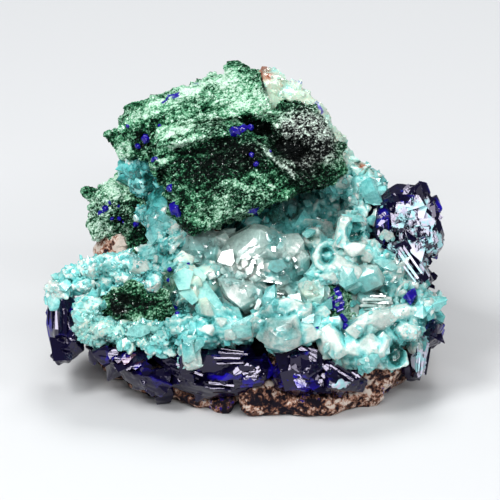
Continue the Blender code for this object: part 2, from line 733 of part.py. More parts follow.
def main():
    for obj in list(bpy.data.objects):
        bpy.data.objects.remove(obj)

    finished, taken = crystal_nodes()

    green = [
        rounded_malachite("malachite_cap", MALACHITE_BLOCKS, 1, taken),
        rounded_malachite("left_malachite", LEFT_MALACHITE, 2, taken),
        rounded_malachite("patch_malachite", PATCH_MALACHITE, 3, taken),
    ]
    finished += [(node, "malachite") for node in green]

    crust = soft_union("aurichalcite_crust", crust_bodies(), CRUST_GRAIN)
    roughen(crust, *CRUST_RELIEF, 4)
    simplify(crust, CRUST_TRIANGLES)
    cut_bodies(crust, taken)
    for node in green:
        combine(crust, swollen_copy(node, GREEN_CUTTER_TRIANGLES), "DIFFERENCE")
    cut_floor(crust)
    keep_largest(crust)
    finished.append((crust, "aurichalcite"))

    rock = soft_union("matrix", rock_bodies(), ROCK_GRAIN)
    roughen(rock, *ROCK_RELIEF, 6)
    simplify(rock, ROCK_TRIANGLES)
    cut_floor(rock)
    combine(rock, make_object("notch", hull_mesh([Vector(corner) for corner in ROCK_NOTCH])), "DIFFERENCE")
    cut_bodies(rock, taken)
    for node in green:
        combine(rock, swollen_copy(node, GREEN_CUTTER_TRIANGLES), "DIFFERENCE")
    combine(rock, swollen_copy(crust, CRUST_CUTTER_TRIANGLES), "DIFFERENCE")
    keep_largest(rock)
    finished.append((rock, "matrix_rock"))

    for node, finish in finished:
        finish_node(node, finish)


main()
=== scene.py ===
"""The looks of a mineral specimen: aurichalcite and cerussite with malachite and azurite on brown rock.

Each mineral is a class that takes its nodes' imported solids, adds the crystals that the front view shows,
gives them their fine surface in mesh code and dresses them in a procedural finish.

Places on the specimen are in millimetres in its front view: across to the right, up the view, and toward the
viewer from the plane through the middle.
"""

from __future__ import annotations

import logging
import math
from dataclasses import dataclass
from enum import Enum, IntEnum
from typing import Iterable, Iterator, Optional, Sequence, Union

import bmesh
import bpy
import numpy as np
from mathutils import Matrix, Vector
from mathutils.bvhtree import BVHTree
from mathutils.kdtree import KDTree


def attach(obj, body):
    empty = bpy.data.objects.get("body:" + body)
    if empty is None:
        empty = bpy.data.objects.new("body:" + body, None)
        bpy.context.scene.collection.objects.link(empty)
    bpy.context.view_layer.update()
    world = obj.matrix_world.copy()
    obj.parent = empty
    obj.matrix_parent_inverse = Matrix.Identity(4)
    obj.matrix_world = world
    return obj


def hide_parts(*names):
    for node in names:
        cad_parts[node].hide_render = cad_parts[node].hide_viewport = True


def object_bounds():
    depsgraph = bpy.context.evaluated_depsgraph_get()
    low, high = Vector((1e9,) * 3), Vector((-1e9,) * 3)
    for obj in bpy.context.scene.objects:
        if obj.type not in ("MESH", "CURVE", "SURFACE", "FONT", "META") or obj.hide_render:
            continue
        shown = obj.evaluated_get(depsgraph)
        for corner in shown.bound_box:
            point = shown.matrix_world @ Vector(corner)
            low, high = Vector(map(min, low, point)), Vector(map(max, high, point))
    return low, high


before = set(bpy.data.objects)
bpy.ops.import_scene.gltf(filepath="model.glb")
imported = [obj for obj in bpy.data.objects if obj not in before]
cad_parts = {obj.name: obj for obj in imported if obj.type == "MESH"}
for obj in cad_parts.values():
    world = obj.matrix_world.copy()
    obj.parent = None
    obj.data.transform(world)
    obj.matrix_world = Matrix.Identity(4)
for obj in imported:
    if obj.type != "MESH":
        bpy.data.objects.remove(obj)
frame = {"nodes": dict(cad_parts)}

CAD_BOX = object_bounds()
LOG = logging.getLogger("specimen")
MM = 0.001
ROOT_BODY = "root"

Place = tuple[float, float, float]
Spot = tuple[float, float]
Colour = tuple[float, float, float]
Array = np.ndarray


@dataclass(frozen=True)
class FrontView:
    """The view that the places are read in, and the camera that stands in it."""

    lean: float = math.radians(25.0)
    middle_height: float = 20.0
    distance: float = 1200.0
    picture_width: float = 75.0

    @property
    def axes(self) -> Array:
        """The view's across, up and toward directions, as columns in the part's frame."""
        sine, cosine = math.sin(self.lean), math.cos(self.lean)
        return np.array([[1.0, 0.0, 0.0], [0.0, sine, -cosine], [0.0, cosine, sine]])

    @property
    def middle(self) -> Array:
        """The point of the part's frame that the picture's middle shows, in millimetres."""
        return np.array([0.0, 0.0, self.middle_height])

    def point(self, across: float, up: float, toward: float) -> Vector:
        """The part's point at this place of the view, in millimetres."""
        return Vector(self.middle + self.axes @ np.array([across, up, toward]))

    def direction(self, across: float, up: float, toward: float) -> Vector:
        """A unit direction of the part's frame, given along the view's axes."""
        return Vector(self.axes @ np.array([across, up, toward])).normalized()

    def places(self, points: Array) -> Array:
        """Turns points of the part's frame, in millimetres, into places of the view."""
        return (points - self.middle) @ self.axes


VIEW = FrontView()


class Lamp(Enum):
    """The softboxes: place in the front view, width, height (mm) and power (W)."""

    KEY = ((-260.0, 330.0, 420.0), 200.0, 200.0, 2.65)
    SIDE = ((420.0, 170.0, 380.0), 200.0, 200.0, 0.9)
    TOP = ((60.0, 560.0, -20.0), 240.0, 240.0, 1.6)
    FRONT = ((-40.0, 150.0, 590.0), 620.0, 44.0, 2.0)

    def lean_at(self, place: Place) -> Spot:
        """How much a mirror face here falls away to the right and upwards to throw the lamp at the viewer.

        Args:
            place: the face's middle in the front view.

        Returns:
            The two falls, as slopes.
        """
        spot = np.array(place)
        ways = [np.array(self.value[0]) - spot, np.array((0.0, 0.0, VIEW.distance)) - spot]
        half = sum(way / np.linalg.norm(way) for way in ways)
        return float(half[0] / half[2]), float(half[1] / half[2])


Lean = Union[Spot, Lamp]

# How many different cells a pattern draws from
CELL_KINDS = 512
# The factors that scramble a cell's three coordinates and its seed, and then the whole
CELL_FACTORS = (73856093, 19349663, 83492791)
SEED_FACTOR = 2654435761
SCRAMBLES = ((15, 2246822519), (13, 3266489917))
# The turn from one point to the next that spreads points evenly over a ball
GOLDEN_ANGLE = math.pi * (3 - math.sqrt(5))
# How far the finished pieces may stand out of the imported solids' box, in millimetres
BOX_SLACK = 0.5
# A distance toward the viewer that is in front of the whole specimen, in millimetres
CLEAR_OF_ALL = 80.0
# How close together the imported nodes' points are joined, in millimetres
JOIN_DISTANCE = 0.0005
# How uneven a broken crystal is, and its least thickness as a share of its width
CHUNK_UNEVEN = 0.22
CHUNK_THINNEST = 0.65
# How much rarer the large ones of scattered crystals are
SMALL_ONES = 2.5
# The waves of a ragged edge: their share, their size in millimetres and what they add to the seed
RAGGED_WAVES = ((1.0, 1.4, 0), (0.5, 0.6, 10))


class Seed(IntEnum):
    """Where each run of chance numbers starts."""

    ROCK_BLOCKS = 1
    ROCK_STONES = 2
    ROCK_CRUMBS = 3
    ROCK_SHAPE = 4
    ROCK_EDGES = 5
    ROCK_TONE = 7
    CRUST_SUGAR = 23
    CRUST_COVER = 24
    CRUST_TONE = 25
    CRUST_RUST = 26
    CRUST_VIOLET = 27
    CRUST_OLIVE = 28
    CRUST_TINTS = 29
    CRUST_EDGES = 30
    CRUST_LARGE = 31
    CRUST_SOLID = 32
    CRUST_MEDIUM = 34
    CRUST_FINE = 35
    GREEN_GRAINS = 42
    GREEN_SHAPE = 43
    GREEN_TONE = 44
    GREEN_EDGES = 45
    GREEN_BLUE = 46
    GREEN_BLOCKS = 47
    GREEN_NEEDLES = 48
    GREEN_LARGE = 49
    GREEN_ASH = 50
    GREEN_WIDE_TONE = 51
    BLUE_TONE = 63
    BLUE_EDGES = 64
    BLUE_RIDGES = 82
    BLUE_FROST = 84
    CRUST_GROWTHS = 100
    CRUST_PLATES = 180
    CLEAR_MIDDLE = 200
    CLEAR_RIGHT = 240
    CRUST_RIMS = 300
    GREEN_CORNERS = 400
    BEADS = 500
    STRIPES = 600
    BLUE_GROUPS = 700


def sine_cosine(turn: float) -> Spot:
    """The sine and cosine of a turn in degrees."""
    return math.sin(math.radians(turn)), math.cos(math.radians(turn))


def ball_ways(count: int, start: float = 0.0) -> Iterator[Place]:
    """Unit directions spread evenly over a ball, from a start angle about its third axis.

    Args:
        count: how many.
        start: an angle in radians.

    Returns:
        The directions, one by one.
    """
    for i in range(count):
        height = 1 - (2 * i + 1) / count
        flat = math.sqrt(1 - height * height)
        angle = start + i * GOLDEN_ANGLE
        yield flat * math.cos(angle), flat * math.sin(angle), height


def cell_kind(cells: Array, seed: int) -> Array:
    """Which of the drawn kinds each cell of a cubic lattice is.

    Args:
        cells: whole-number cell coordinates, shape (..., 3).
        seed: picks one of many independent patterns.

    Returns:
        One whole number for each cell.
    """
    mixed = seed * SEED_FACTOR
    for axis, factor in enumerate(CELL_FACTORS):
        mixed = mixed ^ cells[..., axis] * factor
    for shift, factor in SCRAMBLES:
        mixed = ((mixed ^ (mixed >> shift)) * factor) & 0xFFFFFFFF
    return (mixed ^ (mixed >> 16)) % CELL_KINDS


def soft_noise(points: Array, size: float, seed: int) -> Array:
    """Smooth noise from -1 to 1 with blobs of the given size, in the points' own unit.

    Args:
        points: where it is read.
        size: the blobs' size.
        seed: picks one of many independent patterns.

    Returns:
        A number for each point.
    """
    draws = np.random.default_rng(seed).uniform(-1, 1, CELL_KINDS)
    scaled = points / size
    base = np.floor(scaled).astype(np.int64)
    part = scaled - base
    part = part * part * (3 - 2 * part)
    total = np.zeros(len(points))
    for corner in np.ndindex(2, 2, 2):
        step = np.array(corner)
        weight = np.prod(np.where(step, part, 1 - part), axis=1)
        total += weight * draws[cell_kind(base + step, seed)]
    return total


def drawn_out(places: Array, turn: float, stretch: float) -> Array:
    """Places of the front view, pressed together along a line at this turn in degrees.

    Noise read at them comes out drawn along that line by the stretch.

    Args:
        places: the places.
        turn: the line's turn.
        stretch: how far they are pressed.

    Returns:
        The pressed places.
    """
    sine, cosine = sine_cosine(turn)
    along = places[:, 0] * cosine + places[:, 1] * sine
    over = places[:, 1] * cosine - places[:, 0] * sine
    return np.stack([along / stretch, over, places[:, 2]], axis=1)


def random_turns(draw: np.random.Generator, count: int) -> Array:
    """Random rotation matrices, shape (count, 3, 3)."""
    turns, _ = np.linalg.qr(draw.normal(size=(count, 3, 3)))
    return turns


@dataclass(frozen=True)
class Druse:
    """A surface's cover of small crystals, each a block that is turned its own way.

    A point's place is measured from each crystal's middle along the crystal's own axes, so the heights fall
    away from it in flat faces, and neighbouring crystals meet in creases. Lift is how much higher than the
    rest a crystal may stand, as a share of the size.
    """

    size: float
    height: float
    seed: int
    rounded: float = 0.0
    lift: float = 0.35

    def over(self, points: Array) -> tuple[Array, Array]:
        """The heights over a surface's points.

        Args:
            points: places in the part's frame, in millimetres.

        Returns:
            A height for each point, and a chance number that its crystal has.
        """
        draw = np.random.default_rng(self.seed)
        spots = draw.uniform(0, 1, (CELL_KINDS, 3))
        turns = random_turns(draw, CELL_KINDS)
        lifts = draw.uniform(0, self.lift, CELL_KINDS)
        tints = draw.uniform(0, 1, CELL_KINDS)
        scaled = points / self.size
        base = np.floor(scaled).astype(np.int64)
        near = np.full(len(points), np.inf)
        tint = np.zeros(len(points))
        for step in np.ndindex(3, 3, 3):
            cell = base + np.array(step) - 1
            kind = cell_kind(cell, self.seed)
            away = scaled - cell - spots[kind]
            faces = np.abs(np.einsum("nij,nj->ni", turns[kind], away))
            reach = faces.max(axis=1)
            if self.rounded:
                reach = (1 - self.rounded) * reach + self.rounded * np.linalg.norm(away, axis=1)
            reach = reach - lifts[kind]
            closer = reach < near
            near = np.where(closer, reach, near)
            tint = np.where(closer, tints[kind], tint)
        return self.height * (0.5 - near), tint


class Body:
    """A mesh under construction, in millimetres in the part's frame."""

    def __init__(self, name: str, mesh: bpy.types.Mesh) -> None:
        """Puts the mesh in the scene under the given name."""
        self.obj = bpy.data.objects.new(name, mesh)
        bpy.context.scene.collection.objects.link(self.obj)

    @classmethod
    def of_nodes(cls, name: str, nodes: Iterable[str]) -> "Body":
        """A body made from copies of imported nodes, in millimetres.

        Args:
            name: the body's name.
            nodes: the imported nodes' names.

        Returns:
            The body.
        """
        joined = bmesh.new()
        for node in nodes:
            joined.from_mesh(frame["nodes"][node].data)
        bmesh.ops.scale(joined, vec=(1 / MM,) * 3, verts=joined.verts)
        bmesh.ops.remove_doubles(joined, verts=joined.verts, dist=JOIN_DISTANCE)
        mesh = bpy.data.meshes.new(name)
        joined.to_mesh(mesh)
        joined.free()
        return cls(name, mesh)

    @staticmethod
    def _read(items: bpy.types.bpy_prop_collection, name: str, wide: int, kind: type = float) -> Array:
        """Reads a property of each of the mesh's items.

        Args:
            items: the mesh's points, edges or triangles.
            name: the property.
            wide: how many numbers it has.
            kind: their type.

        Returns:
            A row for each item.
        """
        flat = np.empty(len(items) * wide, dtype=kind)
        items.foreach_get(name, flat)
        return flat.reshape(-1, wide)

    @property
    def points(self) -> Array:
        """The points as an array of shape (n, 3)."""
        return self._read(self.obj.data.vertices, "co", 3)

    @points.setter
    def points(self, values: Array) -> None:
        """Moves the points."""
        self.obj.data.vertices.foreach_set("co", np.ascontiguousarray(values).ravel())
        self.obj.data.update()

    @property
    def normals(self) -> Array:
        """The points' outward directions."""
        return self._read(self.obj.data.vertex_normals, "vector", 3, np.float32).astype(float)

    @property
    def edges(self) -> Array:
        """The edges as pairs of point numbers."""
        return self._read(self.obj.data.edges, "vertices", 2, np.int32)

    @property
    def triangles(self) -> Array:
        """The faces' triangles as three point numbers each."""
        self.obj.data.calc_loop_triangles()
        return self._read(self.obj.data.loop_triangles, "vertices", 3, np.int32)

    def with_hulls(self, hulls: Iterable[Sequence[Vector]]) -> "Body":
        """Adds convex crystals through the given corners, not yet fused to the rest.

        Args:
            hulls: each crystal's corners.

        Returns:
            The body itself.
        """
        joined = bmesh.new()
        joined.from_mesh(self.obj.data)
        for corners in hulls:
            mesh = hull_mesh(corners)
            joined.from_mesh(mesh)
            bpy.data.meshes.remove(mesh)
        joined.to_mesh(self.obj.data)
        joined.free()
        return self

    def modified(self, kind: str, **settings: object) -> "Body":
        """Applies one modifier.

        Args:
            kind: the modifier's type.
            settings: its properties.

        Returns:
            The body itself.
        """
        modifier = self.obj.modifiers.new(kind, kind)
        for key, value in settings.items():
            setattr(modifier, key, value)
        graph = bpy.context.evaluated_depsgraph_get()
        mesh = bpy.data.meshes.new_from_object(self.obj.evaluated_get(graph))
        self.obj.modifiers.clear()
        old, self.obj.data = self.obj.data, mesh
        bpy.data.meshes.remove(old)
        return self

    def fused(self, grain: float) -> "Body":
        """Makes one skin of everything in the body, with faces of the given size."""
        return self.modified("REMESH", mode="VOXEL", voxel_size=grain, adaptivity=0.0)

    def thinned(self, triangles: int) -> "Body":
        """Leaves about this many triangles, the most where the surface bends.

        Args:
            triangles: how many to leave.

        Returns:
            The body itself.
        """
        self.modified("TRIANGULATE")
        share = triangles / max(len(self.obj.data.polygons), 1)
        if share < 1:
            self.modified("DECIMATE", ratio=share)
        return self

    def relaxed_points(self, rounds: int, share: float = 0.6) -> Array:
        """The points after each has moved toward its neighbours' middle a number of times.

        Args:
            rounds: how many times.
            share: how far they go each time.

        Returns:
            The points.
        """
        points, edges = self.points, self.edges
        count = len(points)
        ends = np.concatenate([edges[:, 0], edges[:, 1]])
        others = np.concatenate([edges[:, 1], edges[:, 0]])
        degree = np.maximum(np.bincount(ends, minlength=count), 1)[:, None]
        for _ in range(rounds):
            sums = np.stack(
                [np.bincount(ends, weights=points[others, axis], minlength=count) for axis in range(3)],
                axis=1,
            )
            points = points + share * (sums / degree - points)
        return points

    def relaxed(self, rounds: int, share: float = 0.6) -> "Body":
        """Smooths the body."""
        self.points = self.relaxed_points(rounds, share)
        return self

    def raised(self, heights: Array) -> "Body":
        """Moves each point out along its normal."""
        self.points = self.points + self.normals * heights[:, None]
        return self

    def carved(self, reliefs: Iterable["Relief"]) -> "Body":
        """Pushes regions that face the viewer toward the viewer, or away by a negative height.

        Args:
            reliefs: the regions and heights.

        Returns:
            The body itself.
        """
        places = VIEW.places(self.points)
        facing = self.facing()
        total = np.zeros(len(places))
        for relief in reliefs:
            total += relief.height * relief.zone.over(places)
        self.points = self.points + np.outer(total * facing, VIEW.axes[:, 2])
        return self

    def facing(self) -> Array:
        """How much each point looks toward the viewer, from 0 to 1, where half way round counts as fully."""
        return np.clip((self.normals @ VIEW.axes)[:, 2] * 2, 0, 1)

    def hollowness(self, rounds: int, scale: float) -> Array:
        """How far each point lies in a hollow (towards 1) or on an edge (towards -1)."""
        depth = np.einsum("ij,ij->i", self.relaxed_points(rounds) - self.points, self.normals)
        return np.clip(depth / scale, -1, 1)

    def marked(self, name: str, values: Array) -> "Body":
        """Stores a number for each point, for the finish to read.

        Args:
            name: the mark's name.
            values: a number for each point.

        Returns:
            The body itself.
        """
        layer = self.obj.data.attributes.new(name, "FLOAT", "POINT")
        layer.data.foreach_set("value", np.ascontiguousarray(values, dtype=np.float32))
        return self

    def kept_in_box(self, slack: float) -> "Body":
        """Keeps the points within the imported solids' box, give or take the slack, and above the floor.

        Args:
            slack: in millimetres.

        Returns:
            The body itself.
        """
        low, high = (np.array(corner) / MM for corner in CAD_BOX)
        floor = np.array([low[0] - slack, low[1] - slack, low[2]])
        self.points = np.clip(self.points, floor, high + slack)
        return self

    def removed(self) -> None:
        """Takes a helping body out of the scene."""
        bpy.data.objects.remove(self.obj)

    def piece(self, finish: "Finish", smooth_angle: float, nodes: Sequence[str]) -> bpy.types.Object:
        """Finishes the body as a piece of the model.

        Args:
            finish: the material.
            smooth_angle: edges sharper than this, in degrees, stay crisp.
            nodes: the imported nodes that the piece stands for.

        Returns:
            The piece, in metres and riding on the one body.
        """
        self.kept_in_box(BOX_SLACK)
        mesh = self.obj.data
        mesh.transform(Matrix.Scale(MM, 4))
        if smooth_angle > 0:
            mesh.shade_smooth()
            mesh.set_sharp_from_angle(angle=math.radians(smooth_angle))
        else:
            mesh.shade_flat()
        mesh.materials.clear()
        mesh.materials.append(finish.material)
        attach(self.obj, ROOT_BODY)
        if nodes:
            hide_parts(*nodes)
        LOG.info("%s: %d triangles", self.obj.name, len(self.triangles))
        return self.obj


def hull_mesh(corners: Sequence[Vector]) -> bpy.types.Mesh:
    """The convex body through these corners.

    Args:
        corners: the corners, of which some may lie inside.

    Returns:
        The mesh.
    """
    shape = bmesh.new()
    for corner in corners:
        shape.verts.new(corner)
    made = bmesh.ops.convex_hull(shape, input=shape.verts)
    inner = {g for g in made["geom_interior"] + made["geom_unused"] if isinstance(g, bmesh.types.BMVert)}
    bmesh.ops.delete(shape, geom=list(inner), context="VERTS")
    bmesh.ops.recalc_face_normals(shape, faces=shape.faces)
    mesh = bpy.data.meshes.new("hull")
    shape.to_mesh(mesh)
    shape.free()
    return mesh


class Ground:
    """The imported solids' surface, for finding where a crystal stands."""

    def __init__(self, nodes: Iterable[str]) -> None:
        """Prepares the surface of the given nodes.

        Args:
            nodes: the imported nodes' names.
        """
        points, faces = [], []
        for node in nodes:
            mesh = frame["nodes"][node].data
            start = len(points)
            points += [vertex.co / MM for vertex in mesh.vertices]
            faces += [[start + i for i in polygon.vertices] for polygon in mesh.polygons]
        self.tree = BVHTree.FromPolygons(points, faces)

    def toward(self, across: float, up: float) -> float:
        """How far toward the viewer the surface is that the front view shows at this place, or 0 past it.

        Args:
            across: the place's first measure.
            up: its second.

        Returns:
            The distance in millimetres.
        """
        start = VIEW.point(across, up, CLEAR_OF_ALL)
        hit = self.tree.ray_cast(start, VIEW.direction(0, 0, -1))[0]
        return 0.0 if hit is None else float(VIEW.places(np.array([hit]))[0, 2])


@dataclass(frozen=True)
class Lump:
    """A crystal or nodule: its middle and half sizes in the front view, and how it stands on the ground.

    Rise is how far its middle stands above the ground, turn is its turn in the view in degrees, and deep is
    its half depth. A toward value fixes its place instead of the ground.
    """

    across: float
    up: float
    wide: float
    high: float
    rise: float = 0.0
    corners: int = 14
    uneven: float = 0.12
    turn: float = 0.0
    deep: float = 0.0
    toward: Optional[float] = None

    def hull(self, ground: Ground, seed: int) -> list[Vector]:
        """The crystal's corners, spread evenly over an ellipsoid.

        Args:
            ground: what it stands on.
            seed: picks its shape.

        Returns:
            The corners.
        """
        draw = np.random.default_rng(seed)
        start = draw.uniform(0, math.tau)
        toward = self.toward
        if toward is None:
            toward = ground.toward(self.across, self.up) + self.rise
        deep = self.deep or (self.wide + self.high) / 2
        sine, cosine = sine_cosine(self.turn)
        found = []
        for right, outward, upward in ball_ways(self.corners, start):
            reach = 1 + draw.uniform(-self.uneven, self.uneven)
            x, y = right * self.wide * reach, upward * self.high * reach
            across, up = self.across + x * cosine - y * sine, self.up + x * sine + y * cosine
            found.append(VIEW.point(across, up, toward + outward * deep * reach))
        return found


def lumps_of(*rows: tuple[float, ...]) -> tuple[Lump, ...]:
    """Lumps, each from a row of its values in the order that the class gives them."""
    return tuple(Lump(*row) for row in rows)


@dataclass(frozen=True)
class Blade:
    """A prism that leans across the front view from its foot to its tip, with a slanted end.

    Its tip's and its foot's widths are shares of its own, which it has at its shoulder, a share of its
    length. Slant is how far one side's shoulder may be above the other's.
    """

    foot: Spot
    tip: Spot
    wide: float
    deep: float
    rise: float = 0.0
    tilt: float = 0.0
    sides: int = 6
    taper: float = 0.45
    shoulder: float = 0.80
    narrow_foot: float = 0.9
    slant: float = 0.10

    def hull(self, ground: Ground, seed: int) -> list[Vector]:
        """The crystal's corners, its foot on the ground and its tip higher by tilt.

        Args:
            ground: what it stands on.
            seed: picks its shape.

        Returns:
            The corners.
        """
        draw = np.random.default_rng(seed)
        base = ground.toward(*self.foot) + self.rise
        foot = VIEW.point(*self.foot, base)
        tip = VIEW.point(*self.tip, base + self.tilt)
        way = tip - foot
        side = way.cross(VIEW.direction(0, 0, 1)).normalized()
        out = side.cross(way).normalized()
        slant = draw.uniform(-self.slant, self.slant)
        start = draw.uniform(0, math.tau)
        found = []
        for i in range(self.sides):
            angle = start + i * math.tau / self.sides
            ring = side * math.cos(angle) * self.wide + out * math.sin(angle) * self.deep
            shoulder = self.shoulder + slant * math.cos(angle)
            found += [foot + ring * self.narrow_foot, foot + ring + way * shoulder]
            found.append(foot + ring * self.taper + way)
        return found


@dataclass(frozen=True)
class Chain:
    """A rounded tube through places of the front view, such as a curled crystal's rim.

    Its step, as a share of its radius, is how far apart the lumps are that it is made of.
    """

    spots: tuple[Spot, ...]
    radius: float
    rise: float
    step: float = 0.5

    def hulls(self, ground: Ground, seed: int) -> list[list[Vector]]:
        """Small overlapping lumps along the way, close enough to fuse to a tube.

        Args:
            ground: what it stands on.
            seed: picks the lumps' shapes.

        Returns:
            The corners of each lump.
        """
        stops = [(*spot, ground.toward(*spot) + self.rise) for spot in self.spots]
        found = []
        for first, second in zip(stops, stops[1:]):
            count = max(int(math.dist(first[:2], second[:2]) / (self.radius * self.step)), 1)
            for i in range(count):
                across, up, toward = (low + i / count * (high - low) for low, high in zip(first, second))
                bead = Lump(across, up, self.radius, self.radius, toward=toward, corners=18, uneven=0.05)
                found.append(bead.hull(ground, seed + len(found)))
        return found


@dataclass(frozen=True)
class Gem:
    """A crystal with given flat faces: its front outline, and polished faces nearer the viewer.

    Each polished face is a list of corners in the front view with its middle's height above the outline, and
    leans as asked: by how much it falls away to the right and upwards. Its back is a share of its outline.
    """

    outline: tuple[Spot, ...]
    toward: float
    faces: tuple[tuple[tuple[Spot, ...], float, Lean], ...]
    deep: float = 3.0
    back: float = 0.7

    def hull(self, ground: Ground, seed: int) -> list[Vector]:
        """The crystal's corners.

        Args:
            ground: not used, because its place is given.
            seed: not used, because its shape is given.

        Returns:
            The corners.
        """
        found = [VIEW.point(*spot, self.toward) for spot in self.outline]
        middle = np.mean(np.array(self.outline), axis=0)
        for spot in self.outline:
            inner = middle + self.back * (np.array(spot) - middle)
            found.append(VIEW.point(*inner, self.toward - self.deep))
        for corners, height, lean in self.faces:
            centre = np.mean(np.array(corners), axis=0)
            if isinstance(lean, Lamp):
                lean = lean.lean_at((*centre, self.toward + height))
            right, upward = lean
            for across, up in corners:
                fall = right * (across - centre[0]) + upward * (up - centre[1])
                found.append(VIEW.point(across, up, self.toward + height - fall))
        return found


@dataclass(frozen=True)
class Facet:
    """A flat face that stands out of the ground and leans its own way, on a plate of some depth.

    Its lean is how much it falls away to the right and upwards, or the lamp that it throws at the viewer,
    give or take the off values. Its back is a share of its front.
    """

    corners: tuple[Spot, ...]
    lean: Lean
    rise: float = 0.5
    deep: float = 2.0
    off: Spot = (0.0, 0.0)
    back: float = 0.85

    def hull(self, ground: Ground, seed: int) -> list[Vector]:
        """The plate's corners.

        Args:
            ground: what it stands on.
            seed: not used, because its shape is given.

        Returns:
            The corners.
        """
        centre = np.mean(np.array(self.corners), axis=0)
        toward = ground.toward(*centre) + self.rise
        lean = self.lean
        if isinstance(lean, Lamp):
            lean = lean.lean_at((*centre, toward))
        fall = np.array(lean) + np.array(self.off)
        found = []
        for spot in self.corners:
            away = np.array(spot) - centre
            found.append(VIEW.point(*spot, toward - float(away @ fall)))
            found.append(VIEW.point(*(centre + self.back * away), toward - self.deep))
        return found


# The ways that the faces of the right ridge and of the front group lean
RIDGE_LEANS = (Lamp.KEY, (0.1, 0.7), Lamp.FRONT, (-0.7, 0.1), Lamp.SIDE, (0.7, 0.3), (0.1, -0.3))
FRONT_LEANS = (Lamp.FRONT, (0.0, 0.4), (-0.6, 0.1), Lamp.FRONT, (0.5, 0.2), (0.3, 0.0))


def strips(
    start: tuple[Spot, Spot],
    end: tuple[Spot, Spot],
    leans: Sequence[Lean],
    rise: float = 0.5,
    deep: float = 1.6,
) -> tuple[Facet, ...]:
    """Narrow plates side by side, as on a striated face, each broken off at its own length.

    Args:
        start: the ends of the first side of the face, along the striations.
        end: the ends of the opposite side, in the same order.
        leans: each plate's lean.
        rise: how far the plates stand out.
        deep: their depth.

    Returns:
        The plates.
    """
    draw = np.random.default_rng(abs(round(1000 * start[0][0] + 17 * start[0][1])))
    found = []
    for i, lean in enumerate(leans):
        low = (i + draw.uniform(0.02, 0.30)) / len(leans)
        high = (i + draw.uniform(0.62, 1.05)) / len(leans)
        first, last = draw.uniform(0, 0.3), draw.uniform(0.7, 1)
        corners = []
        for share, spots in ((low, (first, last)), (high, (last, first))):
            for spot in spots:
                near, far = (
                    np.array(start[side]) + share * (np.array(end[side]) - start[side]) for side in (0, 1)
                )
                corner = near + spot * (far - near) + draw.uniform(-0.07, 0.07, 2)
                corners.append((float(corner[0]), float(corner[1])))
        off = (float(draw.uniform(-0.03, 0.03)), float(draw.uniform(-0.015, 0.015)))
        found.append(Facet(tuple(corners), lean, rise + draw.uniform(-0.15, 0.2), deep, off))
    return tuple(found)


def mosaic(
    zone: "Zone",
    count: int,
    sizes: Spot,
    leans: Sequence[Lean],
    seed: int,
    rise: float = 0.5,
    jitter: float = 0.03,
    deep: float = 1.6,
) -> tuple[Facet, ...]:
    """Small flat plates of chance shapes over an oval of the front view.

    Args:
        zone: the oval.
        count: how many plates there are.
        sizes: their smallest and largest half width.
        leans: the ways that they lean.
        seed: picks their places and shapes.
        rise: how far they stand out.
        jitter: how far a plate's lean may be from the one it follows.
        deep: their depth.

    Returns:
        The plates.
    """
    draw = np.random.default_rng(seed)
    sine, cosine = sine_cosine(zone.turn)
    found = []
    for i in range(count):
        reach, angle = math.sqrt((i + 0.5) / count), i * GOLDEN_ANGLE + draw.uniform(-0.4, 0.4)
        x, y = zone.half_across * reach * math.cos(angle), zone.half_up * reach * math.sin(angle)
        across, up = zone.across + x * cosine - y * sine, zone.up + x * sine + y * cosine
        size = draw.uniform(*sizes)
        sides = int(draw.integers(4, 7))
        start = draw.uniform(0, math.tau)
        corners = []
        for side in range(sides):
            way = start + (side + draw.uniform(-0.3, 0.3)) * math.tau / sides
            length = size * draw.uniform(0.7, 1.3)
            corners.append((across + length * math.cos(way), up + length * math.sin(way)))
        lean = leans[int(draw.integers(len(leans)))]
        off = tuple(draw.uniform(-jitter, jitter, 2))
        found.append(Facet(tuple(corners), lean, rise + draw.uniform(-0.2, 0.2), deep, off))
    return tuple(found)


Growth = Union[Lump, Blade, Gem, Facet]


def hulls_of(growths: Iterable[Growth], ground: Ground, seed: int) -> list[list[Vector]]:
    """The corners of each crystal."""
    return [growth.hull(ground, seed + i) for i, growth in enumerate(growths)]


def chunk(draw: np.random.Generator, middle: Array, size: float, length: float, corners: int) -> list[Vector]:
    """A broken crystal's corners.

    Args:
        draw: where its chance comes from.
        middle: its middle in the part's frame, in millimetres.
        size: its half width.
        length: its half length.
        corners: how many corners it has.

    Returns:
        The corners.
    """
    turn = random_turns(draw, 1)[0]
    scale = np.array([size, size * draw.uniform(CHUNK_THINNEST, 1.0), length])
    found = []
    for even in ball_ways(corners):
        way = np.array(even) + draw.uniform(-CHUNK_UNEVEN, CHUNK_UNEVEN, 3)
        found.append(Vector(middle + turn @ (way * scale)))
    return found


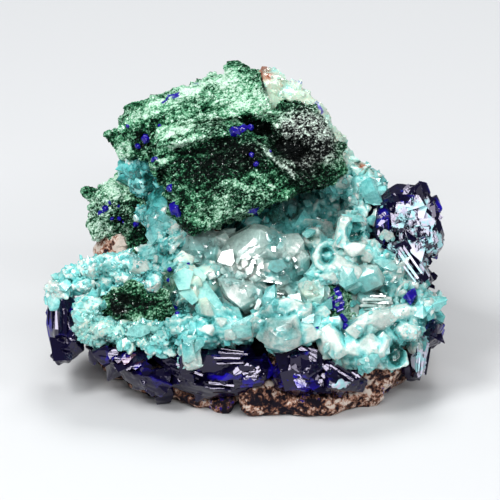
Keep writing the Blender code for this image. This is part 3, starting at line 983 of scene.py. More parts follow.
def scattered(
    body: Body,
    density: float,
    sizes: Spot,
    seed: int,
    stand: float = 0.2,
    calm: Sequence["Zone"] = (),
    where: Sequence["Zone"] = (),
) -> list[list[Vector]]:
    """Broken crystals that stand all over a body's surface.

    Args:
        body: the body they stand on.
        density: how many there are on a square millimetre.
        sizes: their smallest and largest half width.
        seed: picks their places and shapes.
        stand: how far their middles stand above the surface, as a share of their width.
        calm: regions of the front view where they are fewer and smaller.
        where: the regions that they keep to, or none if they stand everywhere.

    Returns:
        The corners of each.
    """
    draw = np.random.default_rng(seed)
    corners = body.points[body.triangles]
    crosses = np.cross(corners[:, 1] - corners[:, 0], corners[:, 2] - corners[:, 0])
    areas = np.linalg.norm(crosses, axis=1)
    count = round(density * areas.sum() / 2)
    chosen = draw.choice(len(areas), size=count, p=areas / areas.sum())
    shares = np.sort(draw.uniform(0, 1, (count, 2)), axis=1)
    one, two, three = (corners[chosen, i] for i in range(3))
    first, second = shares[:, :1], shares[:, 1:]
    spots = one * first + two * (second - first) + three * (1 - second)
    places = VIEW.places(spots)
    shares = (zones_over(where, places) if where else np.ones(count)) * (1 - zones_over(calm, places))
    kept = draw.uniform(0, 1, count) < shares
    found = []
    for index, spot, share in zip(chosen[kept], spots[kept], shares[kept]):
        size = (sizes[0] + (sizes[1] - sizes[0]) * draw.uniform(0, 1) ** SMALL_ONES) * (0.5 + 0.5 * share)
        length = size * draw.uniform(1.0, 1.9)
        middle = spot + crosses[index] / areas[index] * size * stand
        found.append(chunk(draw, middle, size, length, int(draw.integers(8, 13))))
    return found


def tints_of(points: Array, hulls: Sequence[Sequence[Vector]], seed: int) -> Array:
    """A chance number from 0 to 1 for each point, the same all over the crystal that it is nearest to.

    Args:
        points: the points.
        hulls: each crystal's corners.
        seed: picks the numbers.

    Returns:
        The numbers.
    """
    tree = KDTree(len(hulls))
    for i, corners in enumerate(hulls):
        tree.insert(sum(corners, Vector()) / len(corners), i)
    tree.balance()
    draws = np.random.default_rng(seed).uniform(0, 1, len(hulls))
    return draws[[tree.find(point)[1] for point in points]]


@dataclass(frozen=True)
class Zone:
    """A soft-edged oval region of the front view: its middle, half sizes, turn in degrees and strength."""

    across: float
    up: float
    half_across: float
    half_up: float
    amount: float = 1.0
    turn: float = 0.0
    edge: float = 0.35

    def over(self, places: Array) -> Array:
        """How strongly each place lies in the zone.

        Args:
            places: places of the front view.

        Returns:
            A number for each, from 0 to the zone's strength.
        """
        sine, cosine = sine_cosine(self.turn)
        x, y = places[:, 0] - self.across, places[:, 1] - self.up
        reach = np.hypot((x * cosine + y * sine) / self.half_across, (y * cosine - x * sine) / self.half_up)
        return self.amount * np.clip((1 + self.edge - reach) / (2 * self.edge), 0, 1)


def zones_of(*rows: tuple[float, ...]) -> tuple[Zone, ...]:
    """Zones, each from a row of its values in the order that the class gives them."""
    return tuple(Zone(*row) for row in rows)


@dataclass(frozen=True)
class Relief:
    """A region that stands out toward the viewer by a height, or lies back by a negative one."""

    zone: Zone
    height: float


def reliefs_of(*rows: tuple[float, ...]) -> tuple[Relief, ...]:
    """Reliefs, each from a row of its height and then its zone's values."""
    return tuple(Relief(Zone(*row), height) for height, *row in rows)


def zones_over(zones: Iterable[Zone], places: Array) -> Array:
    """The strongest of some zones at each place.

    Args:
        zones: the zones.
        places: places of the front view.

    Returns:
        A number for each place.
    """
    total = np.zeros(len(places))
    for zone in zones:
        total = np.maximum(total, zone.over(places))
    return total


def ragged(points: Array, amount: float, seed: int) -> Array:
    """The points' places shifted by noise, so that a zone read at them has a ragged edge.

    Args:
        points: places in the part's frame.
        amount: how far they shift, in millimetres.
        seed: picks the noise.

    Returns:
        Places of the front view.
    """
    moved = VIEW.places(points)
    for axis in range(2):
        for share, size, shift in RAGGED_WAVES:
            moved[:, axis] += share * amount * soft_noise(points, size, seed + shift + axis)
    return moved


def flecked(
    zones: Iterable[Zone], points: Array, places: Array, shares: Spot, size: float, seed: int
) -> Array:
    """The strongest of some zones at each place, made uneven by noise.

    Args:
        zones: the zones.
        points: the places in the part's frame.
        places: the places in the front view.
        shares: how much of a zone stays everywhere, and how much the noise takes or adds.
        size: the size of the noise's blobs, in millimetres.
        seed: picks the noise.

    Returns:
        A number for each place.
    """
    least, most = shares
    return zones_over(zones, places) * (least + most * soft_noise(points, size, seed))


@dataclass(frozen=True)
class Tone:
    """How light a piece is, and how much its edges, hollows, crystals and noise change that: lighter edges
    are painted highlight, darker hollows painted shade.
    """

    base: float
    edge: float = 0.0
    hollow: float = 0.0
    tint: float = 0.0
    noise: float = 0.0


Value = Union["Wire", float]


class Wire:
    """A socket of a shader that can be used in expressions."""

    def __init__(self, graph: "ShaderGraph", socket: bpy.types.NodeSocket) -> None:
        """Wraps a socket of a graph."""
        self.graph = graph
        self.socket = socket

    def _math(self, operation: str, first: Value, second: Value) -> "Wire":
        """One Math node."""
        return self.graph.node("ShaderNodeMath", {"operation": operation}, {0: first, 1: second})

    def __add__(self, other: Value) -> "Wire":
        """self + other."""
        return self._math("ADD", self, other)

    def __radd__(self, other: Value) -> "Wire":
        """other + self."""
        return self._math("ADD", other, self)

    def __sub__(self, other: Value) -> "Wire":
        """self - other."""
        return self._math("SUBTRACT", self, other)

    def __rsub__(self, other: Value) -> "Wire":
        """other - self."""
        return self._math("SUBTRACT", other, self)

    def __mul__(self, other: Value) -> "Wire":
        """self * other."""
        return self._math("MULTIPLY", self, other)

    def __rmul__(self, other: Value) -> "Wire":
        """other * self."""
        return self._math("MULTIPLY", other, self)

    def clamped(self) -> "Wire":
        """self kept between 0 and 1."""
        return self.graph.node("ShaderNodeClamp", {}, {"Value": self})

    def step(self, low: float, high: float) -> "Wire":
        """Rises smoothly from 0 to 1 as self goes from low to high.

        Args:
            low: where it starts.
            high: where it ends.

        Returns:
            The risen value.
        """
        settings = {"interpolation_type": "SMOOTHSTEP"}
        inputs = {"Value": self, "From Min": low, "From Max": high}
        return self.graph.node("ShaderNodeMapRange", settings, inputs)


class ShaderGraph:
    """The nodes of one material."""

    def __init__(self, name: str) -> None:
        """Starts a material with its Principled shader.

        Args:
            name: the material's name.
        """
        self.material = bpy.data.materials.new(name)
        self.material.use_nodes = True
        self.tree = self.material.node_tree
        self.shader = self.tree.nodes["Principled BSDF"]

    def node(
        self,
        kind: str,
        settings: dict[str, object],
        inputs: dict[Union[int, str], object],
        output: Union[int, str] = 0,
    ) -> Wire:
        """Adds a node.

        Args:
            kind: the node's type.
            settings: its properties, or "stops" for a colour ramp's (position, colour) pairs.
            inputs: values or wires by socket name or number.
            output: the socket to return.

        Returns:
            The output as a wire.
        """
        made = self.tree.nodes.new(kind)
        for key, value in settings.items():
            if key == "stops":
                self._set_stops(made.color_ramp, value)
            else:
                setattr(made, key, value)
        for key, value in inputs.items():
            if isinstance(value, Wire):
                self.tree.links.new(value.socket, made.inputs[key])
            else:
                made.inputs[key].default_value = value
        return Wire(self, made.outputs[output])

    @staticmethod
    def _set_stops(ramp: bpy.types.ColorRamp, stops: Sequence[tuple[float, Colour]]) -> None:
        """Sets a colour ramp's stops.

        Args:
            ramp: the ramp.
            stops: its positions and colours, in order.
        """
        while len(ramp.elements) < len(stops):
            ramp.elements.new(0.5)
        for element, (position, colour) in zip(ramp.elements, stops):
            element.position = position
            element.color = (*colour, 1.0)

    @property
    def place(self) -> Wire:
        """The object coordinates, in metres."""
        return self.node("ShaderNodeTexCoord", {}, {}, "Object")

    def mark(self, name: str) -> Wire:
        """A number stored on the mesh."""
        return self.node("ShaderNodeAttribute", {"attribute_name": name}, {}, "Fac")

    def noise(self, spacing: float, detail: float = 3.0, roughness: float = 0.6) -> Wire:
        """Noise from 0 to 1 with blobs of the given size in millimetres."""
        inputs = {"Vector": self.place, "Scale": 1 / (spacing * MM), "Detail": detail, "Roughness": roughness}
        return self.node("ShaderNodeTexNoise", {}, inputs, "Fac")

    def streaks(self, turn: float, length: float, spacing: float) -> Wire:
        """Noise drawn out into long streaks, at a turn in degrees seen from the front, in millimetres.

        Args:
            turn: the streaks' turn.
            length: their length.
            spacing: their width.

        Returns:
            A number from 0 to 1.
        """
        settings = {"vector_type": "TEXTURE"}
        scale = (length * MM, spacing * MM, spacing * MM)
        inputs = {"Vector": self.place, "Rotation": (0.0, -math.radians(turn), 0.0), "Scale": scale}
        drawn = self.node("ShaderNodeMapping", settings, inputs)
        return self.node("ShaderNodeTexNoise", {}, {"Vector": drawn, "Scale": 1.0, "Detail": 3.0}, "Fac")

    def grain(self, spacing: float) -> Wire:
        """A grey value from 0 to 1 for each irregular cell of the given size in millimetres.

        Args:
            spacing: the cells' size.

        Returns:
            The value.
        """
        inputs = {"Vector": self.place, "Scale": 1 / (spacing * MM)}
        cells = self.node("ShaderNodeTexVoronoi", {}, inputs, "Color")
        return self.node("ShaderNodeSeparateColor", {}, {"Color": cells}, 0)

    def ramp(self, factor: Wire, stops: Sequence[tuple[float, Colour]]) -> Wire:
        """Colours along a number."""
        return self.node("ShaderNodeValToRGB", {"stops": stops}, {"Fac": factor}, "Color")

    def mix(self, factor: Value, first: Union[Wire, Colour], second: Union[Wire, Colour]) -> Wire:
        """Blends two colours.

        Args:
            factor: the second colour's share.
            first: a colour.
            second: a colour.

        Returns:
            The blend.
        """
        colours = [value if isinstance(value, Wire) else (*value, 1.0) for value in (first, second)]
        inputs = {0: factor, 6: colours[0], 7: colours[1]}
        return self.node("ShaderNodeMix", {"data_type": "RGBA"}, inputs, 2)

    def bump(self, height: Wire, distance: float, strength: float = 1.0) -> Wire:
        """A Bump node whose height spans the given millimetres."""
        inputs = {"Height": height, "Distance": distance * MM, "Strength": strength}
        return self.node("ShaderNodeBump", {}, inputs, "Normal")

    def set(self, **inputs: object) -> None:
        """Sets or links the Principled shader's inputs, whose names are written with underscores.

        Args:
            inputs: values or wires.
        """
        for key, value in inputs.items():
            socket = self.shader.inputs[key.replace("_", " ")]
            if isinstance(value, Wire):
                self.tree.links.new(value.socket, socket)
            elif isinstance(value, tuple) and len(socket.default_value) > len(value):
                socket.default_value = (*value, 1.0)
            else:
                socket.default_value = value

    def veiled(self, factor: Wire, **inputs: object) -> None:
        """Mixes a second Principled shader over the first, by the factor.

        Args:
            factor: the second shader's share.
            inputs: its values or wires.
        """
        first = self.shader
        self.shader = self.tree.nodes.new("ShaderNodeBsdfPrincipled")
        self.set(**inputs)
        blend = self.tree.nodes.new("ShaderNodeMixShader")
        self.tree.links.new(factor.socket, blend.inputs[0])
        self.tree.links.new(first.outputs[0], blend.inputs[1])
        self.tree.links.new(self.shader.outputs[0], blend.inputs[2])
        self.tree.links.new(blend.outputs[0], self.tree.nodes["Material Output"].inputs["Surface"])


class Slot(Enum):
    """The record's material slots."""

    ROCK = "matrix_rock"
    AURICHALCITE = "aurichalcite"
    CERUSSITE = "cerussite"
    MALACHITE = "malachite"
    AZURITE = "azurite"


@dataclass(frozen=True)
class Finish:
    """A material with the slot that it belongs to."""

    slot: str
    material: bpy.types.Material


@dataclass(frozen=True)
class RockFinish:
    """Brown rock with rusty, pink and dark grains."""

    dark: Colour = (0.006, 0.004, 0.010)
    brown: Colour = (0.055, 0.026, 0.022)
    rust: Colour = (0.21, 0.085, 0.050)
    pink: Colour = (0.50, 0.27, 0.19)
    pale: Colour = (0.66, 0.57, 0.50)
    blue: Colour = (0.014, 0.008, 0.20)

    def made(self) -> Finish:
        """Builds the material.

        Returns:
            The finish.
        """
        graph = ShaderGraph("matrix_rock")
        blotch = graph.noise(1.6, 6.0, 0.75) - 0.5
        tone = graph.mark("tone") - 0.06 + 5.2 * blotch + 0.6 * (graph.grain(0.45) - 0.5)
        stops = [(0.14, self.dark), (0.38, self.brown), (0.58, self.rust)]
        stops += [(0.80, self.pink), (1.0, self.pale)]
        rough = graph.noise(0.35, 4.0, 0.75)
        specks = (graph.mark("blue") + 1.5 * (graph.noise(0.8, 3.0) - 0.5)).step(0.55, 0.62)
        graph.set(
            Base_Color=graph.mix(specks, graph.ramp(tone.clamped(), stops), self.blue),
            Roughness=0.78 - 0.35 * rough - 0.3 * specks,
            Normal=graph.bump(rough, 0.22, 0.9),
            Specular_IOR_Level=0.12,
        )
        return Finish(Slot.ROCK.value, graph.material)


@dataclass(frozen=True)
class CrustFinish:
    """Glassy turquoise crystals, with painted highlight on their edges and painted shade, deep teal, in their
    hollows.
    """

    shadow: Colour = (0.003, 0.045, 0.040)
    deep: Colour = (0.020, 0.20, 0.19)
    turquoise: Colour = (0.12, 0.54, 0.54)
    light: Colour = (0.27, 0.71, 0.69)
    pale: Colour = (0.50, 0.82, 0.78)
    white: Colour = (0.76, 0.84, 0.78)
    cream: Colour = (0.60, 0.74, 0.57)
    rust: Colour = (0.42, 0.17, 0.10)
    violet: Colour = (0.13, 0.12, 0.50)
    olive: Colour = (0.045, 0.13, 0.075)
    glass: Colour = (0.38, 0.90, 0.86)

    def made(self) -> Finish:
        """Builds the material.

        Returns:
            The finish.
        """
        graph = ShaderGraph("aurichalcite")
        cloud = graph.noise(0.60, 5.0, 0.75)
        speckle = 0.60 * (cloud - 0.5) + 0.10 * (graph.grain(0.26) - 0.5)
        tone = (graph.mark("tone") + speckle).clamped()
        stops = [(0.0, self.shadow), (0.16, self.deep), (0.36, self.turquoise)]
        stops += [(0.60, self.light), (0.84, self.pale), (1.0, self.white)]
        colour = graph.mix(graph.mark("cream") * tone, graph.ramp(tone, stops), self.cream)
        for name, tint in (("olive", self.olive), ("rust", self.rust), ("violet", self.violet)):
            colour = graph.mix(graph.mark(name).step(0.3, 0.8), colour, tint)
        sugar = graph.noise(0.24, 4.0, 0.7)
        waves = graph.bump(0.25 * sugar + 0.75 * graph.noise(1.1, 3.0, 0.5), 0.10, 0.7)
        graph.set(
            Base_Color=self.glass,
            Roughness=0.06,
            Normal=waves,
            IOR=1.6,
            Transmission_Weight=0.92,
        )
        graph.veiled(
            (0.44 + 0.9 * (cloud - 0.35) + 0.45 * graph.mark("solid")).clamped(),
            Base_Color=colour,
            Roughness=0.04 + 0.20 * sugar,
            Normal=waves,
            IOR=1.75,
            Subsurface_Weight=0.35,
            Subsurface_Radius=(0.40, 1.0, 0.95),
            Subsurface_Scale=0.0004,
        )
        return Finish(Slot.AURICHALCITE.value, graph.material)


@dataclass(frozen=True)
class CerussiteFinish:
    """Clear, faintly green crystal with a very bright lustre, milky in its veils."""

    clear: Colour = (0.86, 0.96, 0.93)
    milk: Colour = (0.50, 0.70, 0.65)
    frost: Colour = (0.86, 0.90, 0.86)
    aqua: Colour = (0.18, 0.60, 0.58)
    refraction: float = 1.9

    def made(self) -> Finish:
        """Builds the material.

        Returns:
            The finish.
        """
        graph = ShaderGraph("cerussite")
        waves = graph.bump(graph.noise(0.6, 4.0, 0.6), 0.05, 0.45)
        tone = graph.mark("milk") + 1.3 * (graph.noise(0.9, 5.0, 0.7) - 0.5)
        graph.set(
            Base_Color=self.clear,
            Roughness=0.04,
            Normal=waves,
            IOR=self.refraction,
            Transmission_Weight=0.9,
        )
        body = graph.mix(graph.mark("aqua").step(0.2, 0.8), self.milk, self.aqua)
        graph.veiled(
            (0.16 + 0.85 * tone.clamped()).clamped(),
            # Whitest where the milk mark is high, which includes painted highlight.
            Base_Color=graph.mix(tone.step(0.55, 0.95), body, self.frost),
            Roughness=0.07,
            Normal=waves,
            IOR=self.refraction,
            Subsurface_Weight=0.4,
            Subsurface_Radius=(0.8, 1.0, 1.0),
            Subsurface_Scale=0.0010,
        )
        return Finish(Slot.CERUSSITE.value, graph.material)


@dataclass(frozen=True)
class MalachiteFinish:
    """Velvety green of sparkling grains, from pale mint through green to nearly black."""

    black: Colour = (0.001, 0.003, 0.002)
    dark: Colour = (0.001, 0.010, 0.005)
    green: Colour = (0.014, 0.10, 0.042)
    fresh: Colour = (0.080, 0.31, 0.16)
    mint: Colour = (0.27, 0.59, 0.38)
    pale: Colour = (0.62, 0.80, 0.68)
    soot: Colour = (0.003, 0.004, 0.004)
    silver: Colour = (0.45, 0.52, 0.47)
    blue: Colour = (0.02, 0.015, 0.30)

    def made(self) -> Finish:
        """Builds the material.

        Returns:
            The finish.
        """
        graph = ShaderGraph("malachite")
        grain = graph.grain(0.31)
        fine = graph.grain(0.18)
        clumps = graph.noise(1.2, 4.0, 0.7) - 0.5
        fibres = graph.streaks(24.0, 2.4, 0.34) - 0.5
        sparkle = 0.42 * (grain - 0.5) + 0.32 * (fine - 0.5) + 1.3 * clumps + 1.0 * fibres
        tone = (0.015 + graph.mark("tone") + graph.mark("contrast") * sparkle).clamped()
        stops = [(0.0, self.black), (0.24, self.dark), (0.44, self.green), (0.60, self.fresh)]
        stops += [(0.80, self.mint), (1.0, self.pale)]
        greys = [(0.0, self.soot), (0.48, self.soot), (0.82, self.silver), (1.0, self.pale)]
        colour = graph.mix(graph.mark("ash"), graph.ramp(tone, stops), graph.ramp(tone, greys))
        colour = graph.mix(graph.mark("blue").step(0.35, 0.7), colour, self.blue)
        graph.set(
            Base_Color=colour,
            Roughness=0.55 - 0.30 * fine,
            Normal=graph.bump(graph.noise(0.30, 3.0, 0.75), 0.16, 0.9),
            IOR=1.5,
            Specular_IOR_Level=0.04,
            Coat_Weight=(grain * fine).step(0.48, 0.66),
            Coat_Roughness=0.22,
            Coat_IOR=1.8,
        )
        return Finish(Slot.MALACHITE.value, graph.material)


@dataclass(frozen=True)
class AzuriteFinish:
    """Glossy, nearly black blue with a painted glow where it is thin, and pale patches that are partly a
    frosted coating and partly painted reflection.
    """

    night: Colour = (0.003, 0.002, 0.016)
    blue: Colour = (0.010, 0.004, 0.32)
    frost: Colour = (0.62, 0.60, 0.72)
    cyan: Colour = (0.36, 0.66, 0.70)
    plum: Colour = (0.10, 0.035, 0.060)
    sheen: Colour = (0.86, 0.80, 1.0)
    streak_turn: float = 0.0
    streak_length: float = 7.0
    streak_spacing: float = 0.45

    def made(self) -> Finish:
        """Builds the material, with striations that run at the turn, in degrees from the horizontal.

        Returns:
            The finish.
        """
        graph = ShaderGraph("azurite")
        depth = graph.mark("tone") + 0.6 * (graph.noise(1.0, 3.0, 0.6) - 0.5)
        # The pale patches, partly a frosted coating and partly painted reflection.
        frost = graph.mark("frost") + 1.0 * (graph.noise(0.6, 5.0, 0.75) - 0.5)
        covered = frost.step(0.50, 0.62)
        colour = graph.mix(depth.step(0.30, 0.85), self.night, self.blue)
        colour = graph.mix(graph.mark("plum").step(0.3, 0.7), colour, self.plum)
        coat = graph.mix(graph.noise(1.6, 2.0).step(0.44, 0.56), self.frost, self.cyan)
        streaks = graph.streaks(self.streak_turn, self.streak_length, self.streak_spacing)
        graph.set(
            Base_Color=graph.mix(covered, colour, coat),
            Roughness=0.03 + 0.05 * graph.noise(0.7, 3.0) + 0.35 * covered,
            Normal=graph.bump(streaks, 0.035, 0.7),
            IOR=1.52,
            Specular_Tint=self.sheen,
        )
        return Finish(Slot.AZURITE.value, graph.material)


@dataclass
class RockMatrix:
    """The brown rock that carries the rest."""

    finish: Finish
    ground: Ground
    grain: float = 0.38
    smooth_angle: float = 38
    tone: Tone = Tone(0.42, hollow=0.35, noise=0.34)
    foot_height: float = 1.2
    hump_size: float = 3.2
    druses: tuple[Druse, ...] = (
        Druse(2.6, 0.9, Seed.ROCK_BLOCKS, 0.3),
        Druse(1.0, 0.60, Seed.ROCK_STONES, 0.2),
        Druse(0.55, 0.28, Seed.ROCK_CRUMBS),
    )
    pink: tuple[Zone, ...] = zones_of(
        (-20.5, 1.5, 3.4, 3.2), (-22.0, 5.2, 2.0, 2.0, 0.8), (27.0, -4.5, 2.4, 3.6),
        (17.0, -20.5, 6.0, 2.0, 0.35), (-8.0, -18.6, 4.2, 0.8, 0.4, -38),
    )
    blue: tuple[Zone, ...] = zones_of(
        (-5.2, -22.4, 4.0, 2.0, 0.45), (10.0, -22.0, 3.4, 1.0, 0.40), (21.0, -20.5, 3.0, 1.6, 0.45),
    )
    # Darker regions; the one at (-1.0, 4.6) is painted shadow under the malachite cap.
    dark: tuple[Zone, ...] = zones_of(
        (-2.0, -23.2, 5.0, 1.8, 0.25), (5.2, -24.5, 4.0, 2.0, 0.25), (-1.0, 4.6, 5.0, 2.4, 0.6),
        (22.0, -17.5, 1.6, 1.2, 0.4), (1.4, -15.4, 2.6, 2.6, 0.9),
    )

    def build(self) -> bpy.types.Object:
        """Builds and dresses the rock.

        Returns:
            The piece.
        """
        body = Body.of_nodes("rock", ["matrix"]).fused(self.grain).relaxed(rounds=4)
        points = body.points
        total = 0.5 * soft_noise(points, self.hump_size, Seed.ROCK_SHAPE)
        for druse in self.druses:
            total += druse.over(points)[0]
        body.raised(total * np.clip(points[:, 2] / self.foot_height, 0, 1))
        places = ragged(points, 0.8, Seed.ROCK_EDGES)
        tone = self.tone.base + self.tone.noise * soft_noise(points, self.hump_size, Seed.ROCK_TONE)
        # Painted shade: the rock is darker in its hollows.
        tone -= self.tone.hollow * body.hollowness(rounds=8, scale=0.3)
        tone += 0.40 * zones_over(self.pink, places) - zones_over(self.dark, places)
        body.marked("tone", tone)
        body.marked("blue", zones_over(self.blue, places))
        return body.piece(self.finish, self.smooth_angle, ["matrix"])


@dataclass
class AurichalciteCrust:
    """The turquoise crust and the crystals that make it up."""

    finish: Finish
    ground: Ground
    smooth_angle: float = 26
    tone: Tone = Tone(0.57, edge=0.34, hollow=0.30, tint=0.38, noise=0.18)
    first_grain: float = 0.30
    grain: float = 0.20
    triangles: int = 90000
    density: float = 0.50
    small_sizes: Spot = (0.28, 0.85)
    medium_density: float = 0.30
    medium_sizes: Spot = (0.45, 1.0)
    large_density: float = 0.10
    large_sizes: Spot = (0.9, 1.9)
    fine_density: float = 3.0
    fine_sizes: Spot = (0.16, 0.42)
    sugary: tuple[Zone, ...] = zones_of(
        (-21.0, -3.4, 10.0, 3.6), (-20.0, -11.4, 9.0, 5.4), (-14.0, 6.0, 5.0, 8.0, 0.7),
        (17.0, 10.0, 5.0, 2.6, 0.7), (8.0, 20.0, 9.0, 9.5, 0.6), (25.0, -10.0, 4.0, 5.0, 0.5),
    )
    open: tuple[Zone, ...] = zones_of(
        (11.4, -1.0, 2.4, 2.4), (15.4, 3.2, 2.8, 2.8), (-9.1, -8.6, 1.6, 1.2), (21.6, -15.4, 1.6, 2.0),
        (18.0, -12.0, 8.0, 4.6, 0.65), (5.2, -11.2, 4.8, 4.6, 1.0), (8.0, 20.0, 9.0, 9.5, 0.40),
        (-21.0, -3.6, 10.0, 3.6, 0.9), (-21.0, -11.0, 7.0, 5.0, 0.55), (-7.4, -6.4, 3.2, 5.6, 1.0, 28),
    )
    calm: tuple[Zone, ...] = zones_of(
        (-18.0, -3.0, 13.0, 3.4, 0.55), (-20.0, -11.5, 7.0, 4.0, 0.45), (18.5, -12.5, 10.0, 6.0, 0.85),
        (5.6, -11.4, 6.4, 6.0, 0.85), (8.0, 20.0, 9.0, 9.5, 0.40), (-7.4, -6.4, 3.2, 5.6, 0.75, 28),
        (-8.6, -14.4, 3.0, 3.6, 0.70), (14.0, 0.6, 5.4, 5.6, 0.85), (-14.0, 8.0, 6.0, 7.0, 0.2),
    )
    sugar: Druse = Druse(0.7, 0.05, Seed.CRUST_SUGAR)
    left_ridge: tuple[Growth, ...] = (
        Blade((-27.4, -3.9), (-29.9, -7.9), 1.5, 1.5, 0.4),
        *lumps_of(
            (-26.3, -3.5, 1.9, 1.5), (-24.0, -2.6, 2.1, 1.6), (-21.4, -1.9, 2.2, 1.6),
            (-18.8, -1.6, 2.1, 1.6), (-16.5, -2.4, 1.8, 1.5), (-14.6, -3.4, 1.4, 1.4),
            (-14.3, -5.2, 1.6, 1.2, 0, 10, 0.12, 8), (-24.8, -5.3, 1.8, 1.2), (-21.8, -4.8, 1.6, 1.2),
            (-18.8, -4.3, 1.7, 1.2),
        ),
    )
    left_lump: tuple[Growth, ...] = (
        *lumps_of(
            (-23.8, -8.2, 2.2, 1.8, 0.4), (-24.9, -10.3, 1.5, 2.0, 0.3), (-24.1, -12.8, 1.7, 1.5, 0.3),
            (-21.8, -11.8, 2.4, 1.7, 0.6), (-22.4, -13.5, 1.7, 1.0, 0.3), (-19.8, -12.6, 2.2, 1.5, 0.5),
            (-18.3, -13.9, 1.6, 1.2, 0.4), (-16.9, -11.9, 1.8, 1.4, 0.4), (-15.8, -13.5, 1.4, 1.2, 0.4),
            (-14.6, -11.4, 1.5, 1.2, 0.3, 10), (-14.5, -14.6, 1.4, 1.2, 0.3),
            (-12.9, -13.0, 1.3, 1.2, 0.4, 10), (-12.1, -14.8, 1.3, 1.1, 0.3, 10),
            (-11.0, -12.0, 1.2, 1.1, 0.3, 9), (-9.1, -14.3, 1.7, 1.6, 0.3, 10),
        ),
        Blade((-9.2, -13.0), (-8.4, -17.6), 1.6, 1.4, 0.8, 1.4, 6, 0.70),
    )
    white_chunk: tuple[Growth, ...] = (
        *lumps_of(
            (-9.4, -3.3, 1.9, 1.1, 0.4, 10, 0.12, 15), (-11.0, -4.7, 1.2, 1.4, 0.3, 9),
            (-8.6, -4.7, 1.7, 1.3, 0.5, 10, 0.2), (-8.6, -6.2, 1.3, 1.7, 0.6, 11, 0.2, -25),
            (-6.6, -8.6, 1.3, 1.9, 0.7, 10, 0.2, 30),
        ),
        Blade((-5.6, -7.0), (-3.0, -11.0), 0.9, 0.9, 0.5, 0.2, 5, 0.7),
        Blade((-6.6, -7.4), (-4.6, -11.6), 0.9, 0.9, 0.5, 0.0, 6, 0.6),
        *lumps_of(
            (-6.2, -11.9, 1.4, 1.1, 0.3, 9), (-4.3, -10.7, 1.1, 0.9, 0.3, 9),
            (-2.8, -12.5, 1.4, 1.1, 0.3, 10), (-3.7, -14.2, 1.5, 1.0, 0.2, 10),
            (-1.4, -14.2, 1.4, 0.9, 0.2, 10), (-0.6, -12.4, 1.3, 1.1, 0.2),
        ),
    )
    front_middle: tuple[Growth, ...] = (
        *lumps_of(
            (4.8, -12.4, 3.9, 3.2, 0.4, 18, 0.12), (2.8, -12.2, 1.8, 2.0, 0.9, 10, 0.15),
            (8.2, -12.4, 2.6, 2.0, 0.3, 13, 0.14), (1.4, -11.2, 1.9, 1.5, 0.4, 10),
            (4.8, -8.8, 3.6, 2.1, 0.7, 14, 0.14, 10), (7.6, -9.2, 2.2, 1.7, 0.4, 11),
        ),
        Blade((2.4, -7.4), (5.6, -9.6), 1.0, 1.0, 0.8, 0.3, 5, 0.7),
        *lumps_of(
            (8.8, -6.2, 2.3, 1.9, 0.6, 9, 0.12, -35), (9.4, -6.7, 1.6, 0.9, 1.2, 9),
            (10.6, -9.2, 1.6, 1.2, 0.3, 10), (12.6, -10.9, 1.5, 1.2, 0.3, 10),
        ),
        Blade((10.9, -11.4), (13.5, -16.0), 1.5, 1.5, 0.2, 0.0, 7, 0.7),
    )
    front_right: tuple[Growth, ...] = lumps_of(
        (18.2, -10.6, 3.9, 1.9, 0.8, 16, 0.12, 14), (16.0, -11.6, 1.8, 1.5, 1.0, 10, 0.15, 14),
        (22.4, -9.4, 2.4, 1.5, 0.6, 13, 0.12, 20), (15.4, -14.4, 2.2, 2.2, 0.4, 13, 0.14),
        (17.6, -14.0, 1.8, 2.5, 0.5, 12, 0.14), (19.8, -14.4, 1.7, 2.4, 0.5, 12, 0.14),
        (14.4, -16.6, 1.7, 1.1, 0.2, 10), (17.0, -16.6, 1.5, 1.2, 0.2, 10),
        (19.4, -16.9, 1.3, 1.2, 0.2, 10), (23.4, -12.0, 2.3, 1.6, 0.3), (24.7, -14.2, 1.4, 2.0, 0.2),
        (24.0, -9.4, 1.9, 1.4, 0.3, 10), (26.4, -8.3, 1.9, 1.5, 0.3, 10), (27.8, -7.3, 1.0, 1.2, 0.2, 9),
        (27.0, -10.0, 1.6, 1.2, 0.2, 10),
    )
    middle_right: tuple[Growth, ...] = (
        Blade((11.8, -1.6), (16.2, -4.4), 1.7, 1.4, 0.6, 0.4, 12, 0.85),
        *lumps_of(
            (15.6, 0.1, 1.9, 1.4, 1.0, 9), (17.4, -1.0, 1.2, 1.3, 0.8, 9), (11.8, -4.2, 1.8, 1.1, 0.5, 9),
        ),
        Blade((13.4, 0.4), (14.4, 5.0), 1.3, 1.0, 0.8, 0.4, 5, 0.7),
        *lumps_of(
            (17.8, 9.6, 2.3, 1.5, 0.3, 10, 0.12, -18), (13.6, 10.2, 1.8, 1.3, 0.3, 10),
        ),
        Blade((18.2, 3.7), (20.8, 7.4), 1.1, 1.0, 0.4, 0.0, 5, 0.7),
        *lumps_of(
            (20.6, 2.2, 1.5, 1.1, 0.6, 8, 0.3, -10), (20.0, -1.6, 1.2, 1.2, 0.3),
            (18.6, -8.8, 2.0, 0.9, 0.3, 10),
        ),
    )
    left_middle: tuple[Growth, ...] = lumps_of(
        (-16.0, 5.7, 1.5, 1.3, 0.3), (-14.3, 4.6, 1.7, 1.5, 0.3), (-12.6, 5.4, 1.5, 1.6, 0.3),
        (-11.4, 3.3, 1.6, 1.5, 0.3, 10), (-13.5, 2.3, 1.5, 1.4, 0.2), (-12.2, 0.8, 1.5, 1.3, 0.2),
        (-10.4, 1.4, 1.4, 1.3, 0.2, 10), (-9.8, -1.7, 2.0, 1.5, 0.2, 10), (-15.6, 12.4, 1.8, 1.5, 0.2),
        (-17.6, 13.0, 1.5, 1.5, 0.2), (-16.4, 9.6, 1.9, 1.7, 0.2), (-13.8, 9.4, 1.6, 1.8, 0.2),
    )
